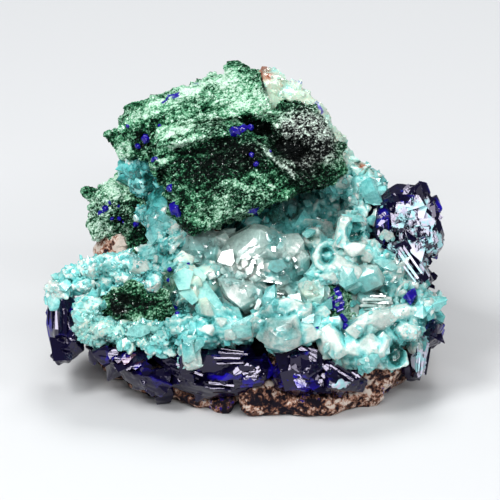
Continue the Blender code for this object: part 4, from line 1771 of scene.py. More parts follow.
    plates: tuple[Facet, ...] = (
        Facet(((-10.2, -13.2), (-8.6, -13.4), (-8.0, -16.4), (-9.8, -16.8)), (-0.3, 0.1), 1.8, 2.4),
        Facet(((-11.6, -3.8), (-9.8, -2.6), (-8.4, -3.2), (-9.0, -5.8), (-10.6, -6)), (-0.4, 0.15), 1.3, 3.0),
        Facet(((-9.8, -2.6), (-7.6, -2.8), (-6.4, -4.0), (-7.6, -5.6), (-8.8, -5.2)), (0.15, 0.35), 1.4, 3.0),
        Facet(((-8.6, -4.4), (-6.9, -3.6), (-6.2, -5.4), (-7.4, -6.6)), (0.5, 0.05), 1.3, 3.0),
        Facet(((-8.8, -5.0), (-6.6, -4.6), (-3.8, -8.4), (-4.6, -10.4), (-7.8, -7.6)), (0.1, 0.25), 1.9, 3.4),
        Facet(((-10.6, -6.4), (-9.0, -5.2), (-7.6, -7.4), (-8.6, -8.2)), (-0.4, -0.1), 1.4, 3.0),
        Facet(((5.6, -6.8), (7.4, -6.4), (7.8, -8.2), (6.0, -8.6)), Lamp.KEY, 0.9),
        Facet(((7.8, -9.6), (9.6, -9.4), (9.4, -10.8), (7.6, -11.0)), Lamp.FRONT, 0.9),
        Facet(((3.0, -9.8), (4.8, -9.4), (4.6, -10.8), (3.0, -11.0)), Lamp.FRONT, 0.9),
        Facet(((16.2, -9.8), (18.6, -9.2), (18.8, -10.6), (16.4, -11.0)), Lamp.FRONT, 1.1),
        Facet(((17.0, -12.4), (18.2, -12.2), (18.2, -14.6), (17.2, -14.6)), Lamp.KEY, 0.9),
        Facet(((19.6, -13.0), (20.6, -13.0), (20.8, -15.4), (19.8, -15.6)), (0.4, 0.2), 0.9),
        Facet(((14.8, 0.9), (16.4, 0.8), (16.2, -0.4), (14.8, -0.2)), Lamp.KEY, 1.6, 1.4),
        Facet(((13.6, 5.4), (16.4, 5.2), (17.2, 4.2), (14.4, 4.2)), (0.1, 0.4), 0.4, 1.6),
    )
    rims: tuple[Chain, ...] = (
        Chain(
            ((12.7, 0.6), (12.9, 3.0), (13.6, 5.0), (15.3, 5.5), (17.0, 4.5), (17.5, 2.6), (16.9, 0.8)),
            0.55, 1.1,
        ),
        Chain(
            ((12.9, 0.8), (11.6, 1.1), (10.3, 0.5), (9.7, -0.9), (10.0, -2.2), (11.2, -3.0), (12.8, -3.0)),
            0.42, 1.1,
        ),
        Chain(((24.6, -4.8), (23.2, -4.8), (22.1, -6), (21.9, -7.8), (22.8, -9.2), (24.3, -9.2)), 0.36, 0.7),
        Chain(((23.6, -5.2), (22.9, -6.4), (22.9, -7.8), (23.6, -8.8)), 0.28, 1.0),
        Chain(((25.2, -5.0), (25.6, -6.6), (25.0, -8.4)), 0.36, 0.6),
    )
    reliefs: tuple[Relief, ...] = reliefs_of(
        (-1.1, 11.6, -0.9, 1.1, 1.2, 1.0, 20, 0.2), (-2.0, 15.6, 2.8, 1.2, 1.5, 1.0, 0, 0.2),
        (-1.2, -9.1, -8.6, 1.6, 1.1), (-1.8, -0.9, -9.8, 0.9, 0.5), (-1.8, 21.6, -15.4, 1.3, 1.8),
        (-0.6, 24.2, -7.0, 0.9, 1.3),
    )
    pale: tuple[Zone, ...] = zones_of(
        (-22.6, -10.0, 3.2, 2.4, 0.16, -35), (14.0, -0.6, 5.0, 4.6, 0.12),
        (-29.2, -6.4, 1.1, 2.4, 0.34, 25), (8.0, 20.0, 9.0, 9.5, 0.26), (22.3, -2.6, 2.6, 2.8, 0.30),
        (18.5, -10.6, 3.6, 1.6, 0.26, 14), (11.9, -13.2, 1.4, 2.8, 0.24, 30), (-8.7, -16.6, 1.6, 1.6, 0.24),
        (9.2, -6.4, 2.0, 1.4, 0.30), (-12.4, 5.0, 1.6, 1.6, 0.22), (-11.0, 2.8, 1.6, 1.4, 0.22),
        (15.4, 0.2, 1.5, 1.2, 0.30), (13.6, 5.2, 1.6, 0.8, 0.24), (14.2, -16.2, 1.6, 1.4, 0.18),
        (24.8, -14.2, 1.2, 2.0, 0.14),
    )
    cream: tuple[Zone, ...] = zones_of(
        (8.0, 20.0, 9.0, 9.5, 0.9), (-8.4, -5.4, 3.4, 4.2, 0.6, 30), (-20.0, -11.4, 7.4, 4.0, 0.5),
        (9.2, -6.4, 2.0, 1.4, 0.6), (-22.6, -10.0, 3.6, 2.6, 0.4, -35),
    )
    clear: tuple[Zone, ...] = zones_of(
        (4.6, -12.6, 4.2, 3.2, 0.85), (6.0, -8.0, 9.0, 4.0, 0.3), (14.0, -1.0, 6.0, 6.0, 0.3),
        (18.0, -13.0, 7.0, 5.0, 0.3), (-8.8, -15.6, 2.0, 2.6, 0.9), (9.0, 4.4, 8.0, 4.0, 0.6),
    )
    # Darker regions, mostly painted shade: in recesses, in creases between lumps, in the left middle and
    # under the malachite cap.
    deep: tuple[Zone, ...] = zones_of(
        (-16.8, 9.0, 4.6, 5.0, 0.40), (-9.1, -8.6, 1.6, 1.2, 0.34), (-19.0, -10.8, 7.0, 4.2, 0.18),
        (-0.9, -9.8, 1.0, 0.6, 0.7), (21.6, -15.6, 1.7, 2.2, 0.48), (9.0, 4.4, 6.0, 3.4, 0.08),
        (-1.0, 5.2, 5.6, 2.2, 0.6), (15.6, 3.0, 1.3, 1.4, 0.16), (-23.0, -10.9, 0.9, 0.5, 0.6, 20),
        (-18.0, -12.4, 0.6, 0.9, 0.6), (-15.2, -12.6, 0.5, 0.9, 0.6, 30), (-12.2, -13.4, 0.9, 0.4, 0.6),
        (-20.8, -13.6, 1.3, 0.4, 0.6, -15), (-22.0, -8.9, 0.6, 0.9, 0.5, -30),
        (-10.6, -12.8, 0.5, 1.0, 0.6, 20), (4.8, -12.2, 3.8, 3.0, 0.16), (-11.8, -4.6, 1.4, 3.6, 0.30),
        (20.0, -4.6, 1.0, 2.4, 0.4), (-15.0, 8.0, 2.6, 1.2, 0.14), (24.2, -7.0, 1.0, 1.4, 0.3),
    )
    olive: tuple[Zone, ...] = zones_of(
        (-17.2, -6.6, 1.6, 0.6, 0.9), (5.4, 5.2, 3.6, 2.2, 0.62), (9.4, 1.9, 1.4, 1.0, 0.7),
        (18.2, 11.6, 1.8, 0.7, 0.9, -35), (-12.0, -4.2, 1.4, 3.4, 0.8), (3.4, 22.4, 1.6, 3.4, 0.5),
    )
    rust: tuple[Zone, ...] = zones_of(
        (2.0, 26.9, 1.5, 1.3), (3.6, 25.2, 1.8, 1.8, 0.45), (-8.4, -5.6, 0.4, 0.35, 0.8),
        (16.6, 13.0, 0.8, 0.7, 0.9), (8.7, -4.3, 0.28, 0.28, 1.0),
    )
    violet: tuple[Zone, ...] = zones_of(
        (10.2, 21.2, 0.8, 1.0), (4.2, 28.0, 1.3, 0.5, 0.8), (6.8, 25.4, 1.1, 0.5, 0.6, -40),
        (-11.4, -3.0, 0.5, 0.5, 0.9),
    )

    def build(self) -> bpy.types.Object:
        """Builds and dresses the crust.

        Returns:
            The piece.
        """
        body = Body.of_nodes("crust", ["aurichalcite_crust"])
        stand = Body.of_nodes("crust_stand", ["aurichalcite_crust"])
        growths = self.left_ridge + self.left_lump + self.white_chunk + self.front_middle
        growths += self.front_right + self.middle_right + self.left_middle
        hulls = hulls_of(growths, self.ground, Seed.CRUST_GROWTHS)
        plates = hulls_of(self.plates, self.ground, Seed.CRUST_PLATES)
        for i, rim in enumerate(self.rims):
            hulls += rim.hulls(self.ground, Seed.CRUST_RIMS + i)
        stand.with_hulls(hulls).fused(self.first_grain)
        large = scattered(stand, self.large_density, self.large_sizes, Seed.CRUST_LARGE, -0.2, self.open)
        medium = scattered(stand, self.medium_density, self.medium_sizes, Seed.CRUST_MEDIUM, 0.0, self.calm)
        cover = scattered(stand, self.density, self.small_sizes, Seed.CRUST_COVER, 0.1, self.calm)
        fine = scattered(stand, self.fine_density, self.fine_sizes, Seed.CRUST_FINE, 0.1, where=self.sugary)
        stand.removed()
        body.with_hulls(hulls + cover).fused(self.grain)
        body.carved(self.reliefs)
        body.thinned(self.triangles)
        body.raised(self.sugar.over(body.points)[0])
        # Painted light: edge lifts the tone on convex edges as painted highlight and lowers it in fine
        # creases as painted shade; wide darkens the hollows as painted shade.
        edge, wide = body.hollowness(rounds=2, scale=0.10), body.hollowness(rounds=24, scale=0.8)
        crystals = large + medium + fine + plates
        body.with_hulls(crystals)
        points = body.points
        edge, wide = (np.append(shade, np.zeros(len(points) - len(shade))) for shade in (edge, wide))
        tint = tints_of(points, hulls + cover + crystals, Seed.CRUST_TINTS)
        places = ragged(points, 0.5, Seed.CRUST_EDGES)
        tone = self.tone.base - self.tone.edge * edge - self.tone.hollow * wide
        tone += self.tone.noise * soft_noise(points, 3.0, Seed.CRUST_TONE)
        tone += self.tone.tint * (tint - 0.5)
        tone += zones_over(self.pale, places) - zones_over(self.deep, places)
        body.marked("tone", np.clip(tone, 0, 1))
        cream = zones_over(self.cream, places)
        body.marked("cream", cream)
        clear = zones_over(self.clear, places)
        body.marked("solid", 0.5 + soft_noise(points, 2.4, Seed.CRUST_SOLID) - clear + 0.6 * cream)
        body.marked("olive", flecked(self.olive, points, places, (0.8, 0.5), 1.0, Seed.CRUST_OLIVE))
        body.marked("rust", flecked(self.rust, points, places, (0.9, 0.5), 0.7, Seed.CRUST_RUST))
        body.marked("violet", flecked(self.violet, points, places, (0.8, 0.7), 0.6, Seed.CRUST_VIOLET))
        return body.piece(self.finish, self.smooth_angle, ["aurichalcite_crust"])


@dataclass
class CerussiteCrystals:
    """The clear crystals in the hollow and on the right."""

    finish: Finish
    ground: Ground
    grain: float = 0.17
    middle: tuple[Growth, ...] = (
        Gem(
            ((0.6, 4.0), (2.4, 3.6), (4.2, 2.6), (5.0, 0.6), (3.6, -2.2), (-0.6, -3.2), (-3.6, -3.6))
            + ((-5.2, -2.4), (-4.6, -0.2), (-2.8, 2.0)),
            4.0,
            (
                (((-2.6, 1.4), (-0.4, 3.2), (1.6, 3.0), (1.0, 0.8), (-1.2, 0.4)), 1.8, (-0.5, 0.5)),
                (((1.8, 2.8), (3.8, 2.0), (3.4, 0.2), (1.4, 0.6)), 2.2, (0.4, 0.45)),
                (((-2.0, 0.2), (0.8, 0.4), (1.6, -1.6), (-1.6, -2.4)), 2.8, (0.05, 0.12)),
            ),
            5.0,
        ),
        Facet(((-4.1, -0.2), (-2.6, 0.1), (-2.3, -1.7), (-2.8, -2.4), (-4.9, -1.7)), Lamp.KEY, 1.9, 2.4),
        Gem(
            ((-4.9, -4.2), (-3.3, -3.8), (0.3, -4.5), (2.0, -5.7), (2.4, -7.5), (1.4, -8.7), (-0.7, -9.7))
            + ((-2.3, -8.5), (-4.2, -6.2)),
            7.2,
            (
                (((-4.4, -4.8), (-3.3, -4.9), (-1.0, -7.6), (-1.4, -8.5), (-3.2, -7.1)), 2.0, Lamp.KEY),
                (((-2.1, -4.8), (-0.4, -5.0), (0.0, -6.8), (-1.0, -7.2)), 2.8, (0.0, 0.4)),
                (((0.2, -5.2), (1.8, -6.0), (2.0, -7.4), (0.4, -7.4)), 2.6, (0.5, 0.2)),
            ),
            4.0,
        ),
        Gem(
            ((-10.2, 2.1), (-8.1, 3.3), (-4.2, 2.7), (-3.6, 0.8), (-4.8, -1.8), (-6.8, -3.3), (-9.0, -1.8))
            + ((-10.4, 0.0),),
            1.2,
            ((((-8.7, 2.1), (-5.4, 1.8), (-5.4, 0.0), (-8.1, 0.0)), 3.2, (0.0, 0.4)),),
            4.0,
        ),
        *lumps_of(
            (6.0, 0.4, 2.8, 2.3, 0, 11, 0.18, 15, 2.0, 4.2),
            (7.6, -1.6, 1.6, 2.2, 0, 10, 0.18, 0, 1.6, 4.2),
            (4.3, -2.9, 2.3, 1.7, 0, 12, 0.10, 10, 1.5, 6.2),
            (-5.0, -3.4, 1.0, 1.5, 0, 9, 0.12, 0, 1.2, 5.8), (-3.6, -3.2, 1.2, 1.2, 0, 9, 0.2, 0, 1.2, 6.0),
            (2.6, 1.6, 1.5, 1.2, 0, 9, 0.2, 0, 1.2, 5.4), (2.0, -0.4, 1.3, 1.1, 0, 9, 0.2, 0, 0.9, 6.4),
            (-1.4, -3.8, 1.2, 0.9, 0, 9, 0.2, 0, 0.8, 8.0), (1.0, -4.2, 1.0, 0.8, 0, 9, 0.2, 0, 0.8, 8.0),
        ),
        Facet(((3.1, 0.6), (3.9, 0.5), (3.8, -0.3), (3.2, -0.2)), Lamp.KEY, 0.9),
        Facet(((1.2, -7.2), (2.0, -7.0), (1.2, -9.0), (0.6, -8.8)), Lamp.SIDE, 0.7),
        Facet(((3.0, -1.6), (4.8, -1.4), (5.6, -2.6), (4.0, -3.4), (2.6, -2.8)), (-0.1, 0.5), 0.7),
        *mosaic(Zone(-0.2, -2.4, 2.2, 1.7), 12, (0.14, 0.60), (Lamp.KEY, Lamp.FRONT, (0.2, 0.3)), 901, 0.5),
        *mosaic(Zone(7.4, -1.0, 1.2, 2.0), 10, (0.16, 0.50), (Lamp.KEY, (0.4, 0.2), (0.0, 0.5)), 902, 0.6),
        *mosaic(Zone(-7.2, 0.6, 2.6, 1.8), 10, (0.12, 0.40), (Lamp.KEY, (0.4, 0.2), (0.0, 0.5)), 903, 0.3),
        *strips(
            ((4.2, 2.4), (4.7, 0.1)), ((6.8, 1.7), (7.2, -0.8)),
            (Lamp.KEY, (0.3, -0.3), Lamp.KEY, (0.6, 0.1), Lamp.KEY, (0.3, 0.0), Lamp.KEY), 0.8,
        ),
        *strips(
            ((1.2, -4.2), (4.8, -4.8)), ((2.2, -6.4), (5.4, -6.8)),
            (Lamp.KEY, (0.2, 0.8), Lamp.KEY, (0.2, 0.8), Lamp.KEY), 0.7,
        ),
        *strips(
            ((-6.5, -3.0), (-5.2, -3.6)), ((-5.5, -5.2), (-4.8, -4.8)),
            (Lamp.KEY, (0.5, 0.6), Lamp.KEY, (0.5, 0.6), Lamp.FRONT), 0.6,
        ),
        *strips(
            ((-8.6, 1.2), (-7.8, 0.0)), ((-4.4, 1.4), (-4.0, 0.2)),
            ((0.2, 0.1), Lamp.KEY, (0.3, 0.2), Lamp.KEY, (0.2, 0.4), Lamp.KEY, (0.5, 0.0)), 0.4,
        ),
    )
    right: tuple[Growth, ...] = (
        Lump(17.3, -4.2, 3.0, 2.5, -0.8, 14, 0.08, 0, 2.4),
        Blade((15.0, -5.2), (19.6, -3.6), 2.0, 1.6, -0.4, 0.3, 6, 0.8),
        Blade((16.6, -8.0), (21.2, -7.6), 0.95, 1.2, 0.0, 0.0, 4, 0.95),
        Facet(((18.4, -3.8), (19.8, -3.8), (19.7, -5.0), (18.3, -5.0)), Lamp.KEY, 0.6),
        Facet(((15.8, -2.8), (17.4, -2.6), (17.0, -4.2), (15.6, -4.4)), (-0.1, 0.4), 0.6),
        *strips(
            ((16.2, -6.6), (21.0, -6.8)), ((16.4, -8.9), (21.2, -8.8)),
            (Lamp.KEY, (0.1, 0.7), Lamp.KEY, (0.3, -0.3), Lamp.KEY), 0.7,
        ),
    )
    smooth_angle: float = 22
    tone: Tone = Tone(0.39, edge=0.3, tint=0.55)
    set_back: float = 0.8
    first_grain: float = 0.30
    density: float = 0.12
    rough_sizes: Spot = (0.6, 1.9)
    chip_density: float = 0.30
    chip_sizes: Spot = (0.22, 0.90)
    calm: tuple[Zone, ...] = zones_of(
        (-0.4, 3.0, 3.2, 2.8, 1.0, 15), (-2.6, -6.8, 1.4, 2.6, 0.9, 40), (-3.6, -1.2, 1.4, 1.3, 0.9),
        (4.4, -2.9, 2.0, 1.4, 0.7), (17.2, -4.4, 3.0, 2.4, 0.7),
    )
    # Milky regions: partly the crystals' veils, partly painted highlight on facets that flash.
    milk: tuple[Zone, ...] = zones_of(
        (-3.6, -1.2, 1.4, 1.2, 0.5, 0, 0.12), (0.2, -2.6, 2.8, 1.8, 0.34, -15, 0.3),
        (-2.7, -6.6, 0.9, 2.4, 0.5, 42, 0.15), (6.2, 0.3, 1.8, 1.8, 0.30), (17.0, -4.6, 2.4, 2.0, 0.20),
        (19.2, -4.2, 0.8, 0.8, 0.5, 0, 0.12), (3.4, -5.4, 2.4, 1.4, 0.3, -32), (18.8, -7.8, 2.6, 1.2, 0.24),
        (-5.6, -4.0, 1.0, 1.2, 0.3),
    )
    aqua: tuple[Zone, ...] = zones_of(
        (4.4, -2.9, 2.4, 1.8), (3.4, 1.6, 1.8, 1.8, 0.8), (7.6, -4.0, 2.6, 2.6, 0.8),
        (16.8, -4.6, 3.0, 2.6, 0.9), (-7.4, -0.6, 3.8, 3.2, 0.6), (1.8, -6.4, 1.8, 2.4, 0.6),
        (-2.8, -4.0, 2.8, 1.6, 0.5),
    )

    def build(self, name: str, node: str, growths: Sequence[Growth], seed: int) -> bpy.types.Object:
        """Builds one node's crystals.

        Args:
            name: the piece's name.
            node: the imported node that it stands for.
            growths: the crystals that the front view shows.
            seed: picks their shapes.

        Returns:
            The piece.
        """
        body = Body.of_nodes(name, [node])
        if node == "cerussite_cluster":
            body.points = body.points - np.array(VIEW.direction(0, 0, 1)) * self.set_back
        stand = Body.of_nodes(name + "_stand", [node])
        crystals = hulls_of(growths, self.ground, seed)
        rough = scattered(body, self.density, self.rough_sizes, seed, 0.0, self.calm)
        stand.with_hulls(crystals + rough).fused(self.first_grain)
        crystals += scattered(stand, self.chip_density, self.chip_sizes, seed + 1, -0.2, self.calm)
        stand.removed()
        body.with_hulls(rough).fused(self.grain)
        edge = body.hollowness(rounds=2, scale=0.10)
        body.with_hulls(crystals)
        points = body.points
        edge = np.append(edge, np.zeros(len(points) - len(edge)))
        tint = tints_of(points, rough + crystals, seed)
        places = ragged(points, 0.3, seed)
        # Painted highlight: convex edges are milkier and whiter, creases clearer.
        milk = self.tone.base + self.tone.tint * (tint - 0.5) - self.tone.edge * edge
        milk += zones_over(self.milk, places)
        body.marked("milk", np.clip(milk, 0, 1))
        body.marked("aqua", zones_over(self.aqua, places))
        return body.piece(self.finish, self.smooth_angle, [node])


@dataclass
class MalachiteGrowth:
    """The green blocks, lumps and patches."""

    finish: Finish
    ground: Ground
    smooth_angle: float = 0
    tone: Tone = Tone(0.42, hollow=0.20, tint=0.14, noise=0.14)
    grain: float = 0.24
    density: float = 0.75
    sizes: Spot = (0.25, 0.95)
    large_density: float = 0.02
    large_sizes: Spot = (0.8, 1.7)
    corners: tuple[Growth, ...] = lumps_of(
        (13.0, 12.2, 1.9, 0.8, -0.4, 8, 0.2, -30, 1.2), (-13.7, 12.8, 1.3, 0.7, 0.2, 8, 0.2, 15, 1.0),
        (-8.2, 3.9, 1.5, 1.1, -0.3, 8, 0.2, 10, 1.2), (-13.6, 17.0, 1.0, 0.7, 0.2, 8, 0.2, 20, 1.0),
    )
    grains: Druse = Druse(0.9, 0.40, Seed.GREEN_GRAINS)
    reliefs: tuple[Relief, ...] = reliefs_of(
        (-1.5, -6.8, 15.4, 5.2, 1.1, 1.0, 10, 0.2), (1.2, -9.6, 17.2, 4.4, 1.2, 1.0, 17, 0.2),
        (-1.8, -3.2, 19.2, 7.5, 0.6, 1.0, 6, 0.3), (-1.6, -14.6, 16.2, 0.7, 2.6, 1.0, 0, 0.3),
        (-2.4, 1.2, 18.6, 2.6, 1.2, 1.0, -25, 0.2), (1.3, 4.5, 12.8, 4.9, 0.45, 1.0, -42, 0.3),
        (-2.2, 5.8, 15.0, 3.0, 1.6, 1.0, -12, 0.2), (0.6, 8.6, 18.8, 4.6, 2.0, 1.0, -12, 0.3),
        (-0.8, 9.0, 13.0, 2.0, 1.6, 1.0, -20, 0.3), (0.7, -4.2, 6.8, 6.5, 2.4, 1.0, 15),
        (0.5, -1.8, 9.6, 2.4, 0.5, 1.0, -12), (-0.7, -1.5, 13.2, 3.6, 2.0, 1.0, 0),
        (0.6, 3.4, 9.3, 0.6, 0.5), (0.8, -13.6, 12.8, 1.4, 0.6, 1.0, 15),
        (-1.0, -13.0, 11.2, 0.8, 0.8, 1.0, 0), (-1.0, -16.2, 2.0, 1.8, 1.2),
        (-0.6, -16.4, -7.6, 2.6, 0.9, 1.0, -12),
    )
    mint: tuple[Zone, ...] = zones_of(
        (-11.4, 17.6, 3.6, 1.0, 0.42, 17, 0.2), (-9.2, 16.2, 3.4, 0.5, 0.34, 17),
        (-2.4, 22.8, 4.2, 3.0, 0.34, 20), (-3.0, 25.4, 3.0, 1.8, 0.40), (-12.0, 22.3, 7.0, 1.1, 0.40, 27),
        (1.8, 21.0, 2.0, 2.6, 0.34), (-8.0, 21.2, 5.0, 1.6, 0.14, 22), (-4.6, 6.4, 4.8, 2.0, 0.12, 15),
        (-1.8, 9.6, 2.4, 0.5, 0.36, -12), (3.4, 9.4, 0.5, 0.5, 0.5), (-18.8, 15.4, 1.1, 1.5, 0.55),
        (-13.6, 13.3, 1.2, 0.5, 0.5), (4.9, 12.4, 4.4, 0.35, 0.30, -42), (-20.4, 9.6, 2.0, 2.6, 0.42, 40),
        (8.4, 18.8, 4.6, 1.6, 0.16, -12), (-22.6, 3.0, 1.6, 2.0, 0.34), (-16.0, -11.0, 2.8, 1.0, 0.26, -15),
        (-21.0, 6.2, 1.8, 1.0, 0.24), (-21.8, -7.9, 0.9, 0.8, 0.30), (-21.0, 5.0, 4.8, 4.8, 0.14),
        (6.8, 13.0, 5.5, 3.0, 0.06), (8.6, 18.8, 4.6, 2.2, 0.06, -12),
    )
    # Near-black regions: partly the malachite's own dark colour, partly painted shade under ledges, in
    # grooves and on faces turned from the light.
    black: tuple[Zone, ...] = zones_of(
        (-3.6, 13.4, 7.6, 2.8, 0.24, 10), (-4.6, 11.4, 9.4, 5.4, 0.10, 12), (-9.0, 12.0, 3.0, 2.6, 0.20),
        (10.0, 10.6, 4.0, 2.2, 0.34, 10), (-18.6, 5.4, 2.6, 2.4, 0.22), (-6.6, 15.0, 4.8, 0.7, 0.34, 10),
        (1.2, 18.6, 2.6, 1.2, 0.6, -25), (8.0, 13.0, 4.6, 3.4, 0.22, -15), (5.6, 15.0, 2.6, 1.5, 0.36, -12),
        (-17.6, 16.2, 2.4, 1.6, 0.22), (-13.2, 11.0, 0.8, 1.2, 0.3), (-16.2, 2.0, 2.0, 1.6, 0.34),
        (-17.0, -7.8, 3.4, 1.2, 0.34, -12), (-10.0, 3.2, 3.0, 0.8, 0.22),
    )
    ash: tuple[Zone, ...] = zones_of(
        (8.4, 16.2, 5.4, 5.6, 1.0), (-1.6, 14.2, 5.2, 2.6, 0.7), (-2.6, 6.6, 6.0, 2.8, 0.40, 15),
        (-21.0, 4.0, 4.6, 4.4, 0.45), (-19.6, -8.8, 1.4, 0.9, 1.0), (4.9, 12.4, 4.4, 0.6, 0.9, -42),
    )
    stark: tuple[Zone, ...] = zones_of(
        (-8.6, 15.8, 5.0, 1.6, 0.3, 12), (8.2, 18.6, 5.0, 2.4, 0.45, -12), (-4.0, 23.0, 9.0, 3.6, 0.12, 20),
        (-21.0, 5.0, 5.0, 5.0, 0.30), (-2.0, 12.0, 8.0, 5.0, 0.15),
    )
    blue: tuple[Zone, ...] = zones_of(
        (-12.0, 22.9, 2.0, 0.32, 1.0, 28), (-8.4, 24.8, 1.0, 0.4, 0.5, 20),
    )

    def build(self, name: str, node: str) -> bpy.types.Object:
        """Builds one node's malachite with sparkling grains.

        Args:
            name: the piece's name.
            node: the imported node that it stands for.

        Returns:
            The piece.
        """
        body = Body.of_nodes(name, [node])
        body.with_hulls(scattered(body, self.density, self.sizes, Seed.GREEN_BLOCKS, stand=0.0))
        body.with_hulls(scattered(body, self.large_density, self.large_sizes, Seed.GREEN_LARGE, stand=-0.3))
        if node == "malachite_cap":
            body.with_hulls(hulls_of(self.corners, self.ground, Seed.GREEN_CORNERS))
        body.fused(self.grain)
        body.carved(self.reliefs)
        points = body.points
        grains, tint = self.grains.over(points)
        needles = np.random.default_rng(Seed.GREEN_NEEDLES).uniform(-1, 1, len(points))
        humps = soft_noise(points, 2.0, Seed.GREEN_SHAPE)
        body.raised(0.5 * grains + 0.14 * needles + 0.25 * humps)
        places = ragged(points, 0.5, Seed.GREEN_EDGES)
        # Painted shade: the malachite is darker in its hollows.
        tone = self.tone.base - self.tone.hollow * body.hollowness(rounds=5, scale=0.25)
        tone += self.tone.tint * (tint - 0.5)
        wide = 0.12 * soft_noise(points, 5.0, Seed.GREEN_WIDE_TONE)
        tone += self.tone.noise * soft_noise(points, 2.0, Seed.GREEN_TONE) + wide
        tone += zones_over(self.mint, places) - zones_over(self.black, places)
        body.marked("tone", tone)
        body.marked("contrast", 0.90 + zones_over(self.stark, places))
        ash = 0.20 + 0.25 * soft_noise(points, 2.6, Seed.GREEN_ASH)
        body.marked("ash", np.maximum(zones_over(self.ash, places), ash))
        body.marked("blue", flecked(self.blue, points, places, (0.8, 0.6), 0.8, Seed.GREEN_BLUE))
        return body.piece(self.finish, self.smooth_angle, [node])


@dataclass(frozen=True)
class AzuriteGroup:
    """One node's azurite: crystals to a square millimetre, its striations' turn, and its broken faces."""

    node: str
    density: float
    streak_turn: float
    faces: tuple[Facet, ...]


